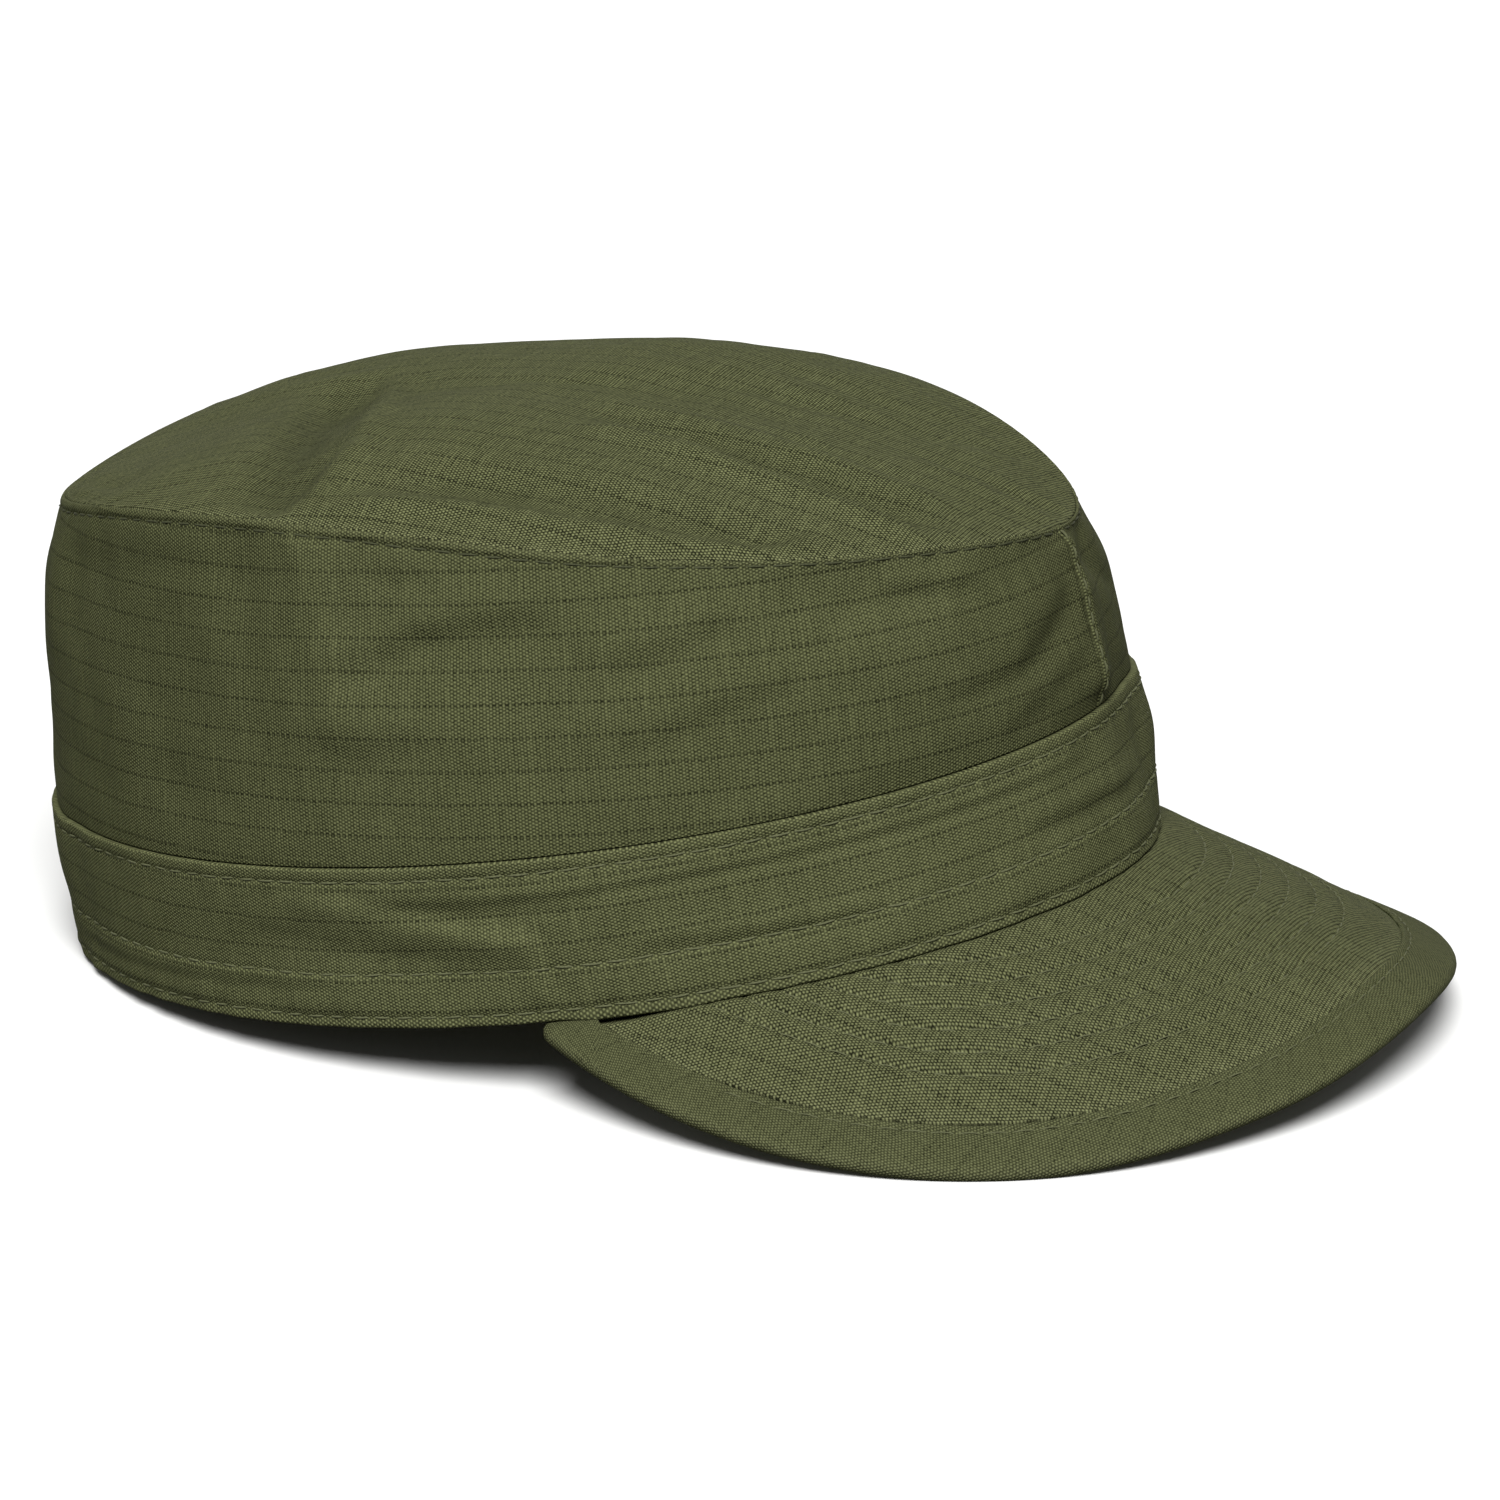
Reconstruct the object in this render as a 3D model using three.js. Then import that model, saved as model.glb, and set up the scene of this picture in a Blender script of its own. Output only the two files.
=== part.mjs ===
// A soft field cap: a low oval crown of two side panels under a domed top, a turned-up band
// round the foot, and a stiffened peak with a bound edge. It lies as it would on a table, on the
// back of its rim and on the two drooping sides of its peak.
//
// Lengths are in millimetres. Each shape is worked out in the cap's own frame: u runs forward
// from the middle of the head opening, v towards the wearer's right, and w up from the rim.

import * as THREE from "three";
import { mergeVertices } from "three/addons/utils/BufferGeometryUtils.js";

// The three ovals that the cloth is cut to. Each has its reach to the front, rear and side, its
// height at the front and rear, and how much more height it has at the sides.
const rim = { front: 104, rear: 104, side: 84, heightFront: 0, heightRear: 0, sideLift: -3.7 };
const bandTop = { front: 100.8, rear: 103.4, side: 85.6, heightFront: 28.1, heightRear: 26.6, sideLift: -2 };
const topSeam = { front: 96.5, rear: 94, side: 72.9, heightFront: 61, heightRear: 82.9, sideLift: 10.8 };

// The top seam's wander up and down, in waves round the cap.
const seamWaves = [
  { cycles: 1, sine: -0.5, cosine: 0 },
  { cycles: 2, sine: 0.5, cosine: 0 },
  { cycles: 3, sine: 0, cosine: 0.35 },
  { cycles: 4, sine: 1.3, cosine: -0.3 },
  { cycles: 5, sine: 0.35, cosine: 0.35 },
];

// The top panel's rise over its seam, how much less of it there is at the front, and how flat
// the middle stays.
const topRise = 15;
const topRiseSlope = -0.006;
const topFlatness = 2.35;

// How far the side panels belly out between the band and the top seam.
const sideFullness = 2.5;

// Cloth thicknesses, and the clearance between sewn pieces.
const crownCloth = 1.2;
const bandCloth = 1.6;
const clearance = 0.3;

// The peak's outer edge in plan: a rounded outline about a middle point, drawn by a turn from
// straight ahead. The table gives how far the edge drops below the rim at each turn.
const peak = {
  reach: 155.3,
  middle: 65.8,
  halfWidth: 94.7,
  fullness: 1.95,
  lastTurn: 118.5,
  belly: 1,
  bellyLength: 40,
  thickness: 2.2,
  boundThickness: 1.2,
  rootDepth: 3.2,
  rootDrop: 1.5,
  tipDrop: 2.3,
  fieldRows: 6,
};
const peakDrop = [
  { turn: 0, drop: 27.4 },
  { turn: 30, drop: 31.2 },
  { turn: 60, drop: 31.9 },
  { turn: 90, drop: 22.0 },
  { turn: 120, drop: 5.8 },
];
const binding = { width: 11, cloth: 1 };

// The cap's lean on the table, and how much its rim flattens there.
const lean = THREE.MathUtils.degToRad(8.7);
const flattened = 0.35;

// Folds of the top panel, each along a line in plan from one (u, v) to another. Its height is
// negative in a valley, and it fades over one width on its left and another on its right.
const topFolds = [
  { name: "cross dent", u0: -40, v0: 0, u1: -22, v1: 68, height: -4.2, left: 13, right: 6.5 },
  { name: "dent crest", u0: -31, v0: 0, u1: -13, v1: 64, height: 1.6, left: 6, right: 9 },
  { name: "side roll", u0: -4, v0: 64.5, u1: 68, v1: 52, height: 2, left: 9, right: 5 },
  { name: "side valley", u0: -2, v0: 57, u1: 66, v1: 46, height: -2.6, left: 5, right: 9 },
  { name: "front roll", u0: 22, v0: 24, u1: 84, v1: 32, height: 1.6, left: 7, right: 5 },
  { name: "front valley", u0: 22, v0: 16, u1: 82, v1: 24, height: -2.2, left: 5, right: 9 },
  { name: "far front roll", u0: 74, v0: -26, u1: 88, v1: -10, height: 1.6, left: 7, right: 9 },
];

// Dents of the side, each from one angle and level to another. A level is -1 at the rim, 0 at
// the band's top and 1 at the top seam, and an angle runs from the front to the wearer's right.
const sideDents = [
  { name: "right hollow", angle0: 70, level0: 0.6, angle1: 98, level1: 0.72, depth: 1.6, spread: 0.2 },
  { name: "front hollow", angle0: 28, level0: 0.8, angle1: 46, level1: 0.85, depth: 1.1, spread: 0.14 },
  { name: "drag fold", angle0: 2, level0: 0.64, angle1: 14, level1: 0.34, depth: 1, spread: 0.1 },
  { name: "band fold", angle0: 80, level0: -0.74, angle1: 108, level1: -0.46, depth: 0.5, spread: 0.2 },
  { name: "rear hollow", angle0: 112, level0: 0.5, angle1: 136, level1: 0.62, depth: 0.9, spread: 0.2 },
  { name: "left front swell", angle0: -50, level0: 0.5, angle1: -22, level1: 0.5, depth: -1, spread: 0.5 },
  { name: "left swell", angle0: -44, level0: -0.3, angle1: -16, level1: -0.3, depth: -2.4, spread: 0.45 },
  { name: "left drag fold", angle0: -18, level0: 0.5, angle1: -4, level1: 0.85, depth: 0.9, spread: 0.08 },
  { name: "left hollow", angle0: -104, level0: 0.6, angle1: -74, level1: 0.7, depth: 1.4, spread: 0.2 },
  { name: "far rear hollow", angle0: -160, level0: 0.6, angle1: -134, level1: 0.45, depth: 1.1, spread: 0.2 },
  { name: "rear roll", angle0: 144, level0: 0.84, angle1: 172, level1: 0.84, depth: -2.6, spread: 0.3 },
  { name: "rear swell", angle0: 144, level0: -0.25, angle1: 168, level1: -0.25, depth: -1.2, spread: 0.4 },
];

// Mesh steps.
const ringSteps = 64;
const topSteps = 14;
const wallLevels = [0, 0.14, 0.28, 0.42, 0.56, 0.7, 0.82, 0.92, 1];
const footLevels = [-0.97, -0.75, -0.5, -0.25];
const bandLevels = [-1, -0.75, -0.5, -0.25, 0];
const peakSteps = 48;

const toRadians = THREE.MathUtils.degToRad;
const smoothstep = THREE.MathUtils.smoothstep;
const mix = THREE.MathUtils.lerp;

// The height of the table's surface at a place u, in the leaning cap's frame.
const lift = rim.rear * Math.sin(lean) - flattened;
function tableHeight(u) {
  return -(u * Math.sin(lean) + lift) / Math.cos(lean);
}

// A point of the cap in the mesh's axes, laid flat where it would pass through the table.
function capPoint(u, v, w) {
  return new THREE.Vector3(-v, -u, Math.max(w, tableHeight(u)));
}

// The top seam's wave at an angle.
function seamWave(angle) {
  return seamWaves.reduce(
    (sum, { cycles, sine, cosine }) =>
      sum + sine * Math.sin(cycles * angle) + cosine * Math.cos(cycles * angle),
    0,
  );
}

// A place on one of the ovals, set in by an inset.
function ovalPlace(oval, angle, inset) {
  const c = Math.cos(angle);
  const s = Math.sin(angle);
  const reach = c > 0 ? oval.front : oval.rear;
  const height = mix(oval.heightFront, oval.heightRear, (1 - c) / 2);
  return {
    u: (reach - inset) * c,
    v: (oval.side - inset) * s,
    w: height + oval.sideLift * s * s + (oval === topSeam ? seamWave(angle) : 0),
  };
}

// How far a place lies along and across a line, with the line's length as one.
function lineOffsets(x, y, x0, y0, x1, y1) {
  const length = Math.hypot(x1 - x0, y1 - y0);
  const dx = (x1 - x0) / length;
  const dy = (y1 - y0) / length;
  const along = ((x - x0) * dx + (y - y0) * dy) / length;
  const across = (x - x0) * dy - (y - y0) * dx;
  return { along, across };
}

// One along a fold's line, and nothing past its two ends.
function foldEnds(along) {
  return smoothstep(along, -0.2, 0.15) * (1 - smoothstep(along, 0.85, 1.2));
}

function topFoldHeight(u, v) {
  let height = 0;
  for (const fold of topFolds) {
    const { along, across } = lineOffsets(u, v, fold.u0, fold.v0, fold.u1, fold.v1);
    const width = across > 0 ? fold.left : fold.right;
    height += fold.height * Math.exp(-((across / width) ** 2)) * foldEnds(along);
  }
  return height;
}

// How far the side is pushed out at an angle and level, by its roll and its dents.
function sideShift(angle, level) {
  const turn = THREE.MathUtils.euclideanModulo(THREE.MathUtils.radToDeg(angle) + 180, 360) - 180;
  const degreesPerLevel = 35;
  let shift = level > 0 ? sideFullness * Math.sin(Math.PI * level) : 0;
  for (const dent of sideDents) {
    const { along, across } = lineOffsets(
      turn,
      level * degreesPerLevel,
      dent.angle0,
      dent.level0 * degreesPerLevel,
      dent.angle1,
      dent.level1 * degreesPerLevel,
    );
    const fade = Math.exp(-((across / (dent.spread * degreesPerLevel)) ** 2));
    shift -= dent.depth * fade * foldEnds(along);
  }
  const held = 1 - level ** 6;
  return shift * held;
}

// A place between two ovals, pushed out from the cap's middle by the side's shift.
function sidePoint(lower, lowerInset, upper, upperInset, share, angle, level) {
  const a = ovalPlace(lower, angle, lowerInset);
  const b = ovalPlace(upper, angle, upperInset);
  const shift = sideShift(angle, level);
  const outward = new THREE.Vector2(Math.cos(angle) / rim.front, Math.sin(angle) / rim.side);
  outward.normalize();
  return capPoint(
    mix(a.u, b.u, share) + outward.x * shift,
    mix(a.v, b.v, share) + outward.y * shift,
    mix(a.w, b.w, share),
  );
}

// The band at a level from -1 to 0, at a depth in from its outer face.
function bandPoint(angle, level, depth) {
  return sidePoint(rim, depth, bandTop, depth, level + 1, angle, level);
}

// The crown's side panels: their foot lies inside the band, and their wall rises to the top seam.
function crownSidePoint(angle, level, depth) {
  const behindBand = bandCloth + clearance + depth;
  if (level < 0) return sidePoint(rim, behindBand, bandTop, behindBand, level + 1, angle, level);
  const seamGap = clearance * 0.7 / (topSeam.heightFront - bandTop.heightFront);
  const point = sidePoint(bandTop, behindBand, topSeam, depth, level * (1 - seamGap), angle, level);
  point.z -= depth * level;
  return point;
}

// The top panel from its seam, at radius 1, to its middle, at radius 0.
const topMiddle = (topSeam.front - topSeam.rear) / 2;
const topMiddleHeight = (topSeam.heightFront + topSeam.heightRear) / 2 + topSeam.sideLift / 2;
function topPoint(angle, radius, depth) {
  const seam = ovalPlace(topSeam, angle, depth);
  const share = radius * (1 - clearance * 0.7 / topSeam.side);
  const u = mix(topMiddle, seam.u, share);
  const v = mix(0, seam.v, share);
  const rise = (topRise + topRiseSlope * u) * (1 - radius ** topFlatness);
  const fold = topFoldHeight(u, v) * (1 - radius ** 8);
  return capPoint(u, v, mix(topMiddleHeight, seam.w, share) - depth + rise + fold);
}

// A smooth value between a table's rows, where the rows are evenly spaced in turn.
function betweenRows(rows, column, turn) {
  const step = rows[1].turn - rows[0].turn;
  const row = Math.min(Math.floor(turn / step), rows.length - 2);
  const at = (i) => rows[Math.min(Math.abs(i), rows.length - 1)][column];
  const t = turn / step - row;
  const slope0 = (at(row + 1) - at(row - 1)) / 2;
  const slope1 = row + 2 < rows.length ? (at(row + 2) - at(row)) / 2 : at(row + 1) - at(row);
  const bend = at(row) - at(row + 1);
  return at(row) + t * slope0 + t * t * (-3 * bend - 2 * slope0 - slope1) +
    t * t * t * (2 * bend + slope0 + slope1);
}

// A place on the peak's outer edge.
function peakEdge(turnDegrees) {
  const turn = toRadians(Math.abs(turnDegrees));
  const power = 2 / peak.fullness;
  const c = Math.cos(turn);
  const s = Math.sin(turn);
  return {
    u: peak.middle + (peak.reach - peak.middle) * Math.sign(c) * Math.abs(c) ** power,
    v: Math.sign(turnDegrees) * peak.halfWidth * s ** power,
    w: -betweenRows(peakDrop, "drop", Math.abs(turnDegrees)),
  };
}

// The rim's angle at the place nearest to (u, v), found by halving a quarter turn.
function nearestRimAngle(u, v) {
  let low = 0;
  let high = Math.PI / 2;
  for (let i = 0; i < 40; i++) {
    const middle = (low + high) / 2;
    const c = Math.cos(middle);
    const s = Math.sin(middle);
    const slope = (rim.front * c - u) * -rim.front * s + (rim.side * s - Math.abs(v)) * rim.side * c;
    if (slope < 0) low = middle;
    else high = middle;
  }
  return Math.sign(v) * (low + high) / 2;
}

// A rib of the peak's middle surface, from the rim to the outer edge, at a distance out from the
// rim. Inside the rim it runs level.
function peakRib(turn) {
  const edge = peakEdge(turn);
  const angle = nearestRimAngle(edge.u, edge.v);
  const root = ovalPlace(rim, angle, 0);
  const tipShare = smoothstep(Math.abs(angle), toRadians(55), toRadians(75));
  const rootHeight = root.w - mix(peak.rootDrop, peak.tipDrop, tipShare);
  const reach = Math.hypot(edge.u - root.u, edge.v - root.v);
  const length = Math.hypot(reach, edge.w - rootHeight);
  const belly = peak.belly * Math.sin(angle) ** 2 * Math.min(1, length / peak.bellyLength) ** 2;
  return {
    length,
    at(distance) {
      const share = distance / (distance < 0 ? reach : length);
      const height = mix(rootHeight, edge.w, share) + belly * 4 * share * (1 - share);
      return new THREE.Vector3(
        mix(root.u, edge.u, share),
        mix(root.v, edge.v, share),
        distance < 0 ? rootHeight : height,
      );
    },
  };
}

// The peak's upward normal at a distance along a rib.
function peakNormal(turn, distance) {
  if (distance < 0) return new THREE.Vector3(0, 0, 1);
  const step = 0.5;
  const before = peakRib(turn - step);
  const rib = peakRib(turn);
  const after = peakRib(turn + step);
  const share = distance / rib.length;
  const along = after.at(share * after.length).sub(before.at(share * before.length));
  const out = rib.at(Math.min(distance + step, rib.length)).sub(rib.at(Math.max(distance - step, 0)));
  return out.cross(along).normalize();
}

// A point at a height over the peak's middle surface.
function peakPoint(turn, distance, height) {
  const p = peakRib(turn).at(distance).addScaledVector(peakNormal(turn, distance), height);
  return capPoint(p.x, p.y, p.z);
}

// The rows of a rib from the edge to under the rim, each with its distance and half thickness.
// The peak thins where the binding wraps it, which on a short rib is all the way.
function peakRows(length) {
  const end = length - binding.cloth - clearance;
  const bare = length - binding.width - 4 * clearance;
  const boundHalf = peak.boundThickness / 2;
  const half = mix(boundHalf, peak.thickness / 2, smoothstep(bare, 3, 12));
  const evenly = (from, to, count) =>
    Array.from({ length: count }, (_, k) => ({ distance: mix(from, to, k / (count - 1)), half }));
  const behind = { distance: -peak.rootDepth, half };
  if (bare < 0.2 * length) return [...evenly(end, 0, peak.fieldRows + 2), behind];
  const bound = [end, bare + 1].map((distance) => ({ distance, half: boundHalf }));
  return [...bound, ...evenly(bare, 0, peak.fieldRows), behind];
}

// Joins an outer and an inner grid of points into one closed shell. The first index runs towards
// the wearer's right and the second runs up the cap.
function shell(outer, inner, isRing) {
  const corners = [];
  const quad = (a, b, c, d) => corners.push(a, b, c, a, c, d);
  const columns = isRing ? outer.length : outer.length - 1;
  const last = outer[0].length - 1;
  for (let i = 0; i < columns; i++) {
    const next = (i + 1) % outer.length;
    for (let j = 0; j < last; j++) {
      quad(outer[i][j], outer[i][j + 1], outer[next][j + 1], outer[next][j]);
      quad(inner[i][j], inner[next][j], inner[next][j + 1], inner[i][j + 1]);
    }
    quad(outer[i][0], outer[next][0], inner[next][0], inner[i][0]);
    quad(outer[i][last], inner[i][last], inner[next][last], outer[next][last]);
  }
  if (!isRing) {
    const end = outer.length - 1;
    for (let j = 0; j < last; j++) {
      quad(outer[0][j], inner[0][j], inner[0][j + 1], outer[0][j + 1]);
      quad(outer[end][j], outer[end][j + 1], inner[end][j + 1], inner[end][j]);
    }
  }
  return closedGeometry(corners);
}

// Triangles with shared corners, without those that have no area.
function closedGeometry(corners) {
  const loose = new THREE.BufferGeometry().setFromPoints(corners);
  const merged = mergeVertices(loose, 1e-4);
  const index = [];
  const all = merged.index.array;
  for (let i = 0; i < all.length; i += 3) {
    const [a, b, c] = [all[i], all[i + 1], all[i + 2]];
    if (a !== b && b !== c && c !== a) index.push(a, b, c);
  }
  merged.setIndex(index);
  merged.computeVertexNormals();
  return merged;
}

function grid(firsts, seconds, point) {
  return firsts.map((first) => seconds.map((second) => point(first, second)));
}

const cloth = (colour) =>
  new THREE.MeshStandardMaterial({ color: colour, roughness: 0.92, metalness: 0 });

function piece(name, geometry, colour) {
  const mesh = new THREE.Mesh(geometry, cloth(colour));
  mesh.name = name;
  return mesh;
}

// The oval top panel, domed, dented and creased.
function makeTop() {
  const angles = Array.from({ length: ringSteps }, (_, i) => (2 * Math.PI * i) / ringSteps);
  const radii = Array.from({ length: topSteps + 1 }, (_, j) => 1 - (j / topSteps) ** 1.15);
  const outer = grid(angles, radii, (angle, radius) => topPoint(angle, radius, 0));
  const inner = grid(angles, radii, (angle, radius) => topPoint(angle, radius, crownCloth));
  return piece("crown_top", shell(outer, inner, true), 0x575a3f);
}

// One side panel, from the front seam to the rear seam. Its side is 1 on the wearer's right.
function makeSide(name, side) {
  const seamAngle = clearance / 2 / rim.side;
  const steps = ringSteps / 2;
  const sweep = Array.from({ length: steps + 1 }, (_, i) =>
    THREE.MathUtils.clamp((Math.PI * i) / steps, seamAngle, Math.PI - seamAngle),
  );
  const angles = side > 0 ? sweep : sweep.map((angle) => -angle).reverse();
  const levels = [...footLevels, ...wallLevels];
  const outer = grid(angles, levels, (angle, level) => crownSidePoint(angle, level, 0));
  const inner = grid(angles, levels, (angle, level) => crownSidePoint(angle, level, crownCloth));
  return piece(name, shell(outer, inner, false), 0x525539);
}

// The turned-up band round the foot of the crown.
function makeBand() {
  const angles = Array.from({ length: ringSteps }, (_, i) => (2 * Math.PI * i) / ringSteps);
  const outer = grid(angles, bandLevels, (angle, level) => bandPoint(angle, level, 0));
  const inner = grid(angles, bandLevels, (angle, level) => bandPoint(angle, level, bandCloth));
  return piece("crown_band", shell(outer, inner, true), 0x595c41);
}

const peakTurns = Array.from({ length: peakSteps + 1 }, (_, i) =>
  peak.lastTurn * ((2 * i) / peakSteps - 1),
);

// The stiffened peak, thinner where the binding wraps it, and cut short of the binding's two ends.
function makePeak() {
  const face = (side) =>
    peakTurns.slice(1, -1).map((turn) =>
      peakRows(peakRib(turn).length).map((row) => peakPoint(turn, row.distance, side * row.half)),
    );
  return piece("peak", shell(face(1), face(-1), false), 0x5e6146);
}

// The bias strip folded over the peak's edge, as a channel open towards the cap. The table gives
// its outer round by depth in from the edge and height, as shares of half its thickness.
const bindingRound = [
  { depth: 1, height: 1 },
  { depth: 0.45, height: 0.84 },
  { depth: 0.08, height: 0.4 },
];
function makeBinding() {
  const inside = peak.boundThickness / 2 + clearance;
  const outside = inside + binding.cloth;
  const slotDepths = [binding.cloth + 0.4, binding.cloth + 0.2, binding.cloth];
  const outer = [];
  const inner = [];
  for (const turn of peakTurns) {
    const length = peakRib(turn).length;
    const arm = Math.max(Math.min(binding.width, length - 1.5 * clearance), 2 * outside);
    const elbow = arm > length ? Math.max(length, outside + clearance) : (arm + outside) / 2;
    const at = (depth, height) => peakPoint(turn, length - depth, height);
    const arms = (height) => [at(arm, height), at(elbow, height)];
    const round = (side) => bindingRound.map((p) => at(p.depth * outside, side * p.height * outside));
    const slot = (height) => slotDepths.map((depth) => at(depth, height));
    outer.push([...arms(-outside), ...round(-1), ...round(1).reverse(), ...arms(outside).reverse()]);
    inner.push([...arms(-inside), ...slot(-inside), ...slot(inside).reverse(), ...arms(inside).reverse()]);
  }
  return piece("peak_binding", shell(outer, inner, false), 0x565a3e);
}

// The cap leans back on the table, with the origin under the middle of its box.
const cap = new THREE.Group();
const leaning = new THREE.Group();
leaning.add(
  makeTop(),
  makeSide("crown_side_right", 1),
  makeSide("crown_side_left", -1),
  makeBand(),
  makePeak(),
  makeBinding(),
);
leaning.rotation.x = -lean;
leaning.position.z = lift;
cap.add(leaning);
const box = new THREE.Box3().setFromObject(cap, true);
leaning.position.x = -(box.min.x + box.max.x) / 2;
leaning.position.y = -(box.min.y + box.max.y) / 2;

export default cap;
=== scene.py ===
import math

import bmesh
import bpy
import numpy as np
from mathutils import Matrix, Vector


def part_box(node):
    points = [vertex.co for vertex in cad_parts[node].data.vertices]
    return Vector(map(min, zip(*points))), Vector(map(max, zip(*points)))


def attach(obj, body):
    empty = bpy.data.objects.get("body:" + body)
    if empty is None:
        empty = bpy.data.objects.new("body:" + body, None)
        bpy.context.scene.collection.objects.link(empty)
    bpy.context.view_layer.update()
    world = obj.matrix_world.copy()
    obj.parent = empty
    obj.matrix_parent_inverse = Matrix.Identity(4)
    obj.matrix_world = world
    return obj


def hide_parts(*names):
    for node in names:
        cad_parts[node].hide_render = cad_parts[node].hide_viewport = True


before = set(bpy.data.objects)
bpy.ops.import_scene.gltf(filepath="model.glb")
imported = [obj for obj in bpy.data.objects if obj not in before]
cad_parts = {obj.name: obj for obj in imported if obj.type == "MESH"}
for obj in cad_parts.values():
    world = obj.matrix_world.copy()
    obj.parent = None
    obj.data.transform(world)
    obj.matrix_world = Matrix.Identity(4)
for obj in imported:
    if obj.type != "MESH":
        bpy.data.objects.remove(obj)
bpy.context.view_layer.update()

# Crown sides. Two panels of ripstop cotton, sewn to each other down the front and the rear of
# the cap. Their feet are hidden in the band, and their upper edges are turned in and sewn to
# the top panel with one row of topstitching.


def table(columns, rows):
    """Rows with named columns."""
    return [dict(zip(columns.split(), row)) for row in rows]


# The cloth is cut to three ovals, in millimetres and in the cap's own frame, with the middle of
# the head opening at the origin. Each has its reach to the front, rear and side, its height at
# the front and rear, and how much more height it has at the sides.
MM = 0.001
RIM = dict(front=104, rear=104, side=84, front_height=0, rear_height=0, side_lift=-3.7)
BAND_TOP = dict(front=100.8, rear=103.4, side=85.6, front_height=28.1, rear_height=26.6, side_lift=-2)
TOP_SEAM = dict(front=96.5, rear=94, side=72.9, front_height=61, rear_height=82.9, side_lift=10.8)
SEAM_WAVES = table("cycles sine cosine", [
    (1, -0.5, 0),
    (2, 0.5, 0),
    (3, 0, 0.35),
    (4, 1.3, -0.3),
    (5, 0.35, 0.35),
])
CROWN_CLOTH = 1.2
BAND_CLOTH = 1.6
CLEARANCE = 0.3
SEWN_GAP = 0.06
SIDE_FULLNESS = 2.5
DEGREES_PER_LEVEL = 35
TUCK_STEP = 2.33

# The cap leans back on the table, on its rim's rear and on the two sides of its peak.
LEAN = math.radians(8.7)
RIM_FLATTENED = 0.35
LIFT = RIM["rear"] * math.sin(LEAN) - RIM_FLATTENED
BACK_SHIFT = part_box("crown_band")[1][1] / MM - (
    BAND_TOP["rear"] * math.cos(LEAN) + BAND_TOP["rear_height"] * math.sin(LEAN)
)

# Folds and hollows of the side, each from one (angle, level) to another. A level is -1 at the
# rim, 0 at the band's top and 1 at the top seam. An angle is in degrees from the front towards
# the wearer's right.
SIDE_DENTS = table("name x0 y0 x1 y1 depth spread", [
    ("right hollow", 70, 0.6, 98, 0.72, 1.6, 0.2),
    ("front hollow", 28, 0.8, 46, 0.85, 1.1, 0.14),
    ("drag fold", 2, 0.64, 14, 0.34, 1.0, 0.1),
    ("band ridge", 78, -0.55, 101, -0.22, -0.7, 0.1),
    ("band fold", 80, -0.74, 108, -0.46, 0.5, 0.2),
    ("rear hollow", 112, 0.5, 136, 0.62, 0.9, 0.2),
    ("left front swell", -50, 0.5, -22, 0.5, -1, 0.5),
    ("left band swell", -44, -0.3, -16, -0.3, -2.4, 0.45),
    ("left drag fold", -18, 0.5, -4, 0.85, 0.9, 0.08),
    ("left hollow", -104, 0.6, -74, 0.7, 1.4, 0.2),
    ("left rear hollow", -160, 0.6, -134, 0.45, 1.1, 0.2),
    ("rear roll", 144, 0.84, 172, 0.84, -2.6, 0.3),
    ("rear band swell", 144, -0.25, 168, -0.25, -1.2, 0.4),
])


def mix(a, b, share):
    return a + (b - a) * share


def smooth(x, start, end):
    t = np.clip((x - start) / (end - start), 0, 1)
    return t * t * (3 - 2 * t)


def between(x, rise, full, fall, end):
    """One from the full to the fall, and nothing before the rise or past the end."""
    return smooth(x, rise, full) * (1 - smooth(x, fall, end))


def bell(x, width, power=2):
    """One at nothing, and close to nothing past twice the width."""
    return np.exp(-((x / width) ** power))


def seam_wave(angle):
    return sum(
        wave["sine"] * np.sin(wave["cycles"] * angle) + wave["cosine"] * np.cos(wave["cycles"] * angle)
        for wave in SEAM_WAVES
    )


def cap_point(u, v, w):
    """A place u forward, v to the wearer's right and w up, in the mesh's axes."""
    return np.stack(np.broadcast_arrays(-v, -u, w), axis=-1)


def oval_place(oval, angle, inset):
    """A place on an oval, set in by an inset, as u, v and w."""
    c, s = np.cos(angle), np.sin(angle)
    reach = np.where(c > 0, oval["front"], oval["rear"])
    w = mix(oval["front_height"], oval["rear_height"], (1 - c) / 2) + oval["side_lift"] * s * s
    if oval is TOP_SEAM:
        w = w + seam_wave(angle)
    return (reach - inset) * c, (oval["side"] - inset) * s, w


def beside_line(x, y, row, scale=1):
    """One beside a row's line from (x0, y0) to (x1, y1), fading past its two ends, and how far to
    the line's right a place is. Every y is stretched by the scale."""
    dx, dy = row["x1"] - row["x0"], (row["y1"] - row["y0"]) * scale
    length = math.hypot(dx, dy)
    x, y = x - row["x0"], (y - row["y0"]) * scale
    along = (x * dx + y * dy) / length**2
    return between(along, -0.2, 0.15, 0.85, 1.2), (x * dy - y * dx) / length


def tuck_heights(x, y, tucks, scale=1):
    """Tucks, each a soft step along its line: the cloth is high to the left of the line and low
    to its right, by the height from one to the other."""
    total = 0
    for tuck in tucks:
        ends, across = beside_line(x, y, tuck, scale)
        share = across / tuck["width"]
        total = total - tuck["height"] * TUCK_STEP * ends * share * np.exp(-(share**2))
    return total


def degrees_round(angle):
    """An angle in degrees from the front, under nothing on the wearer's left."""
    return (np.degrees(angle) + 180) % 360 - 180


def dent_depth(angle, level):
    """How deep the dents press the side in at an angle and level."""
    depth = 0
    for dent in SIDE_DENTS:
        ends, across = beside_line(degrees_round(angle), level, dent, DEGREES_PER_LEVEL)
        width = dent["spread"] * DEGREES_PER_LEVEL
        depth = depth + dent["depth"] * ends * bell(across, width)
    return depth


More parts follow.
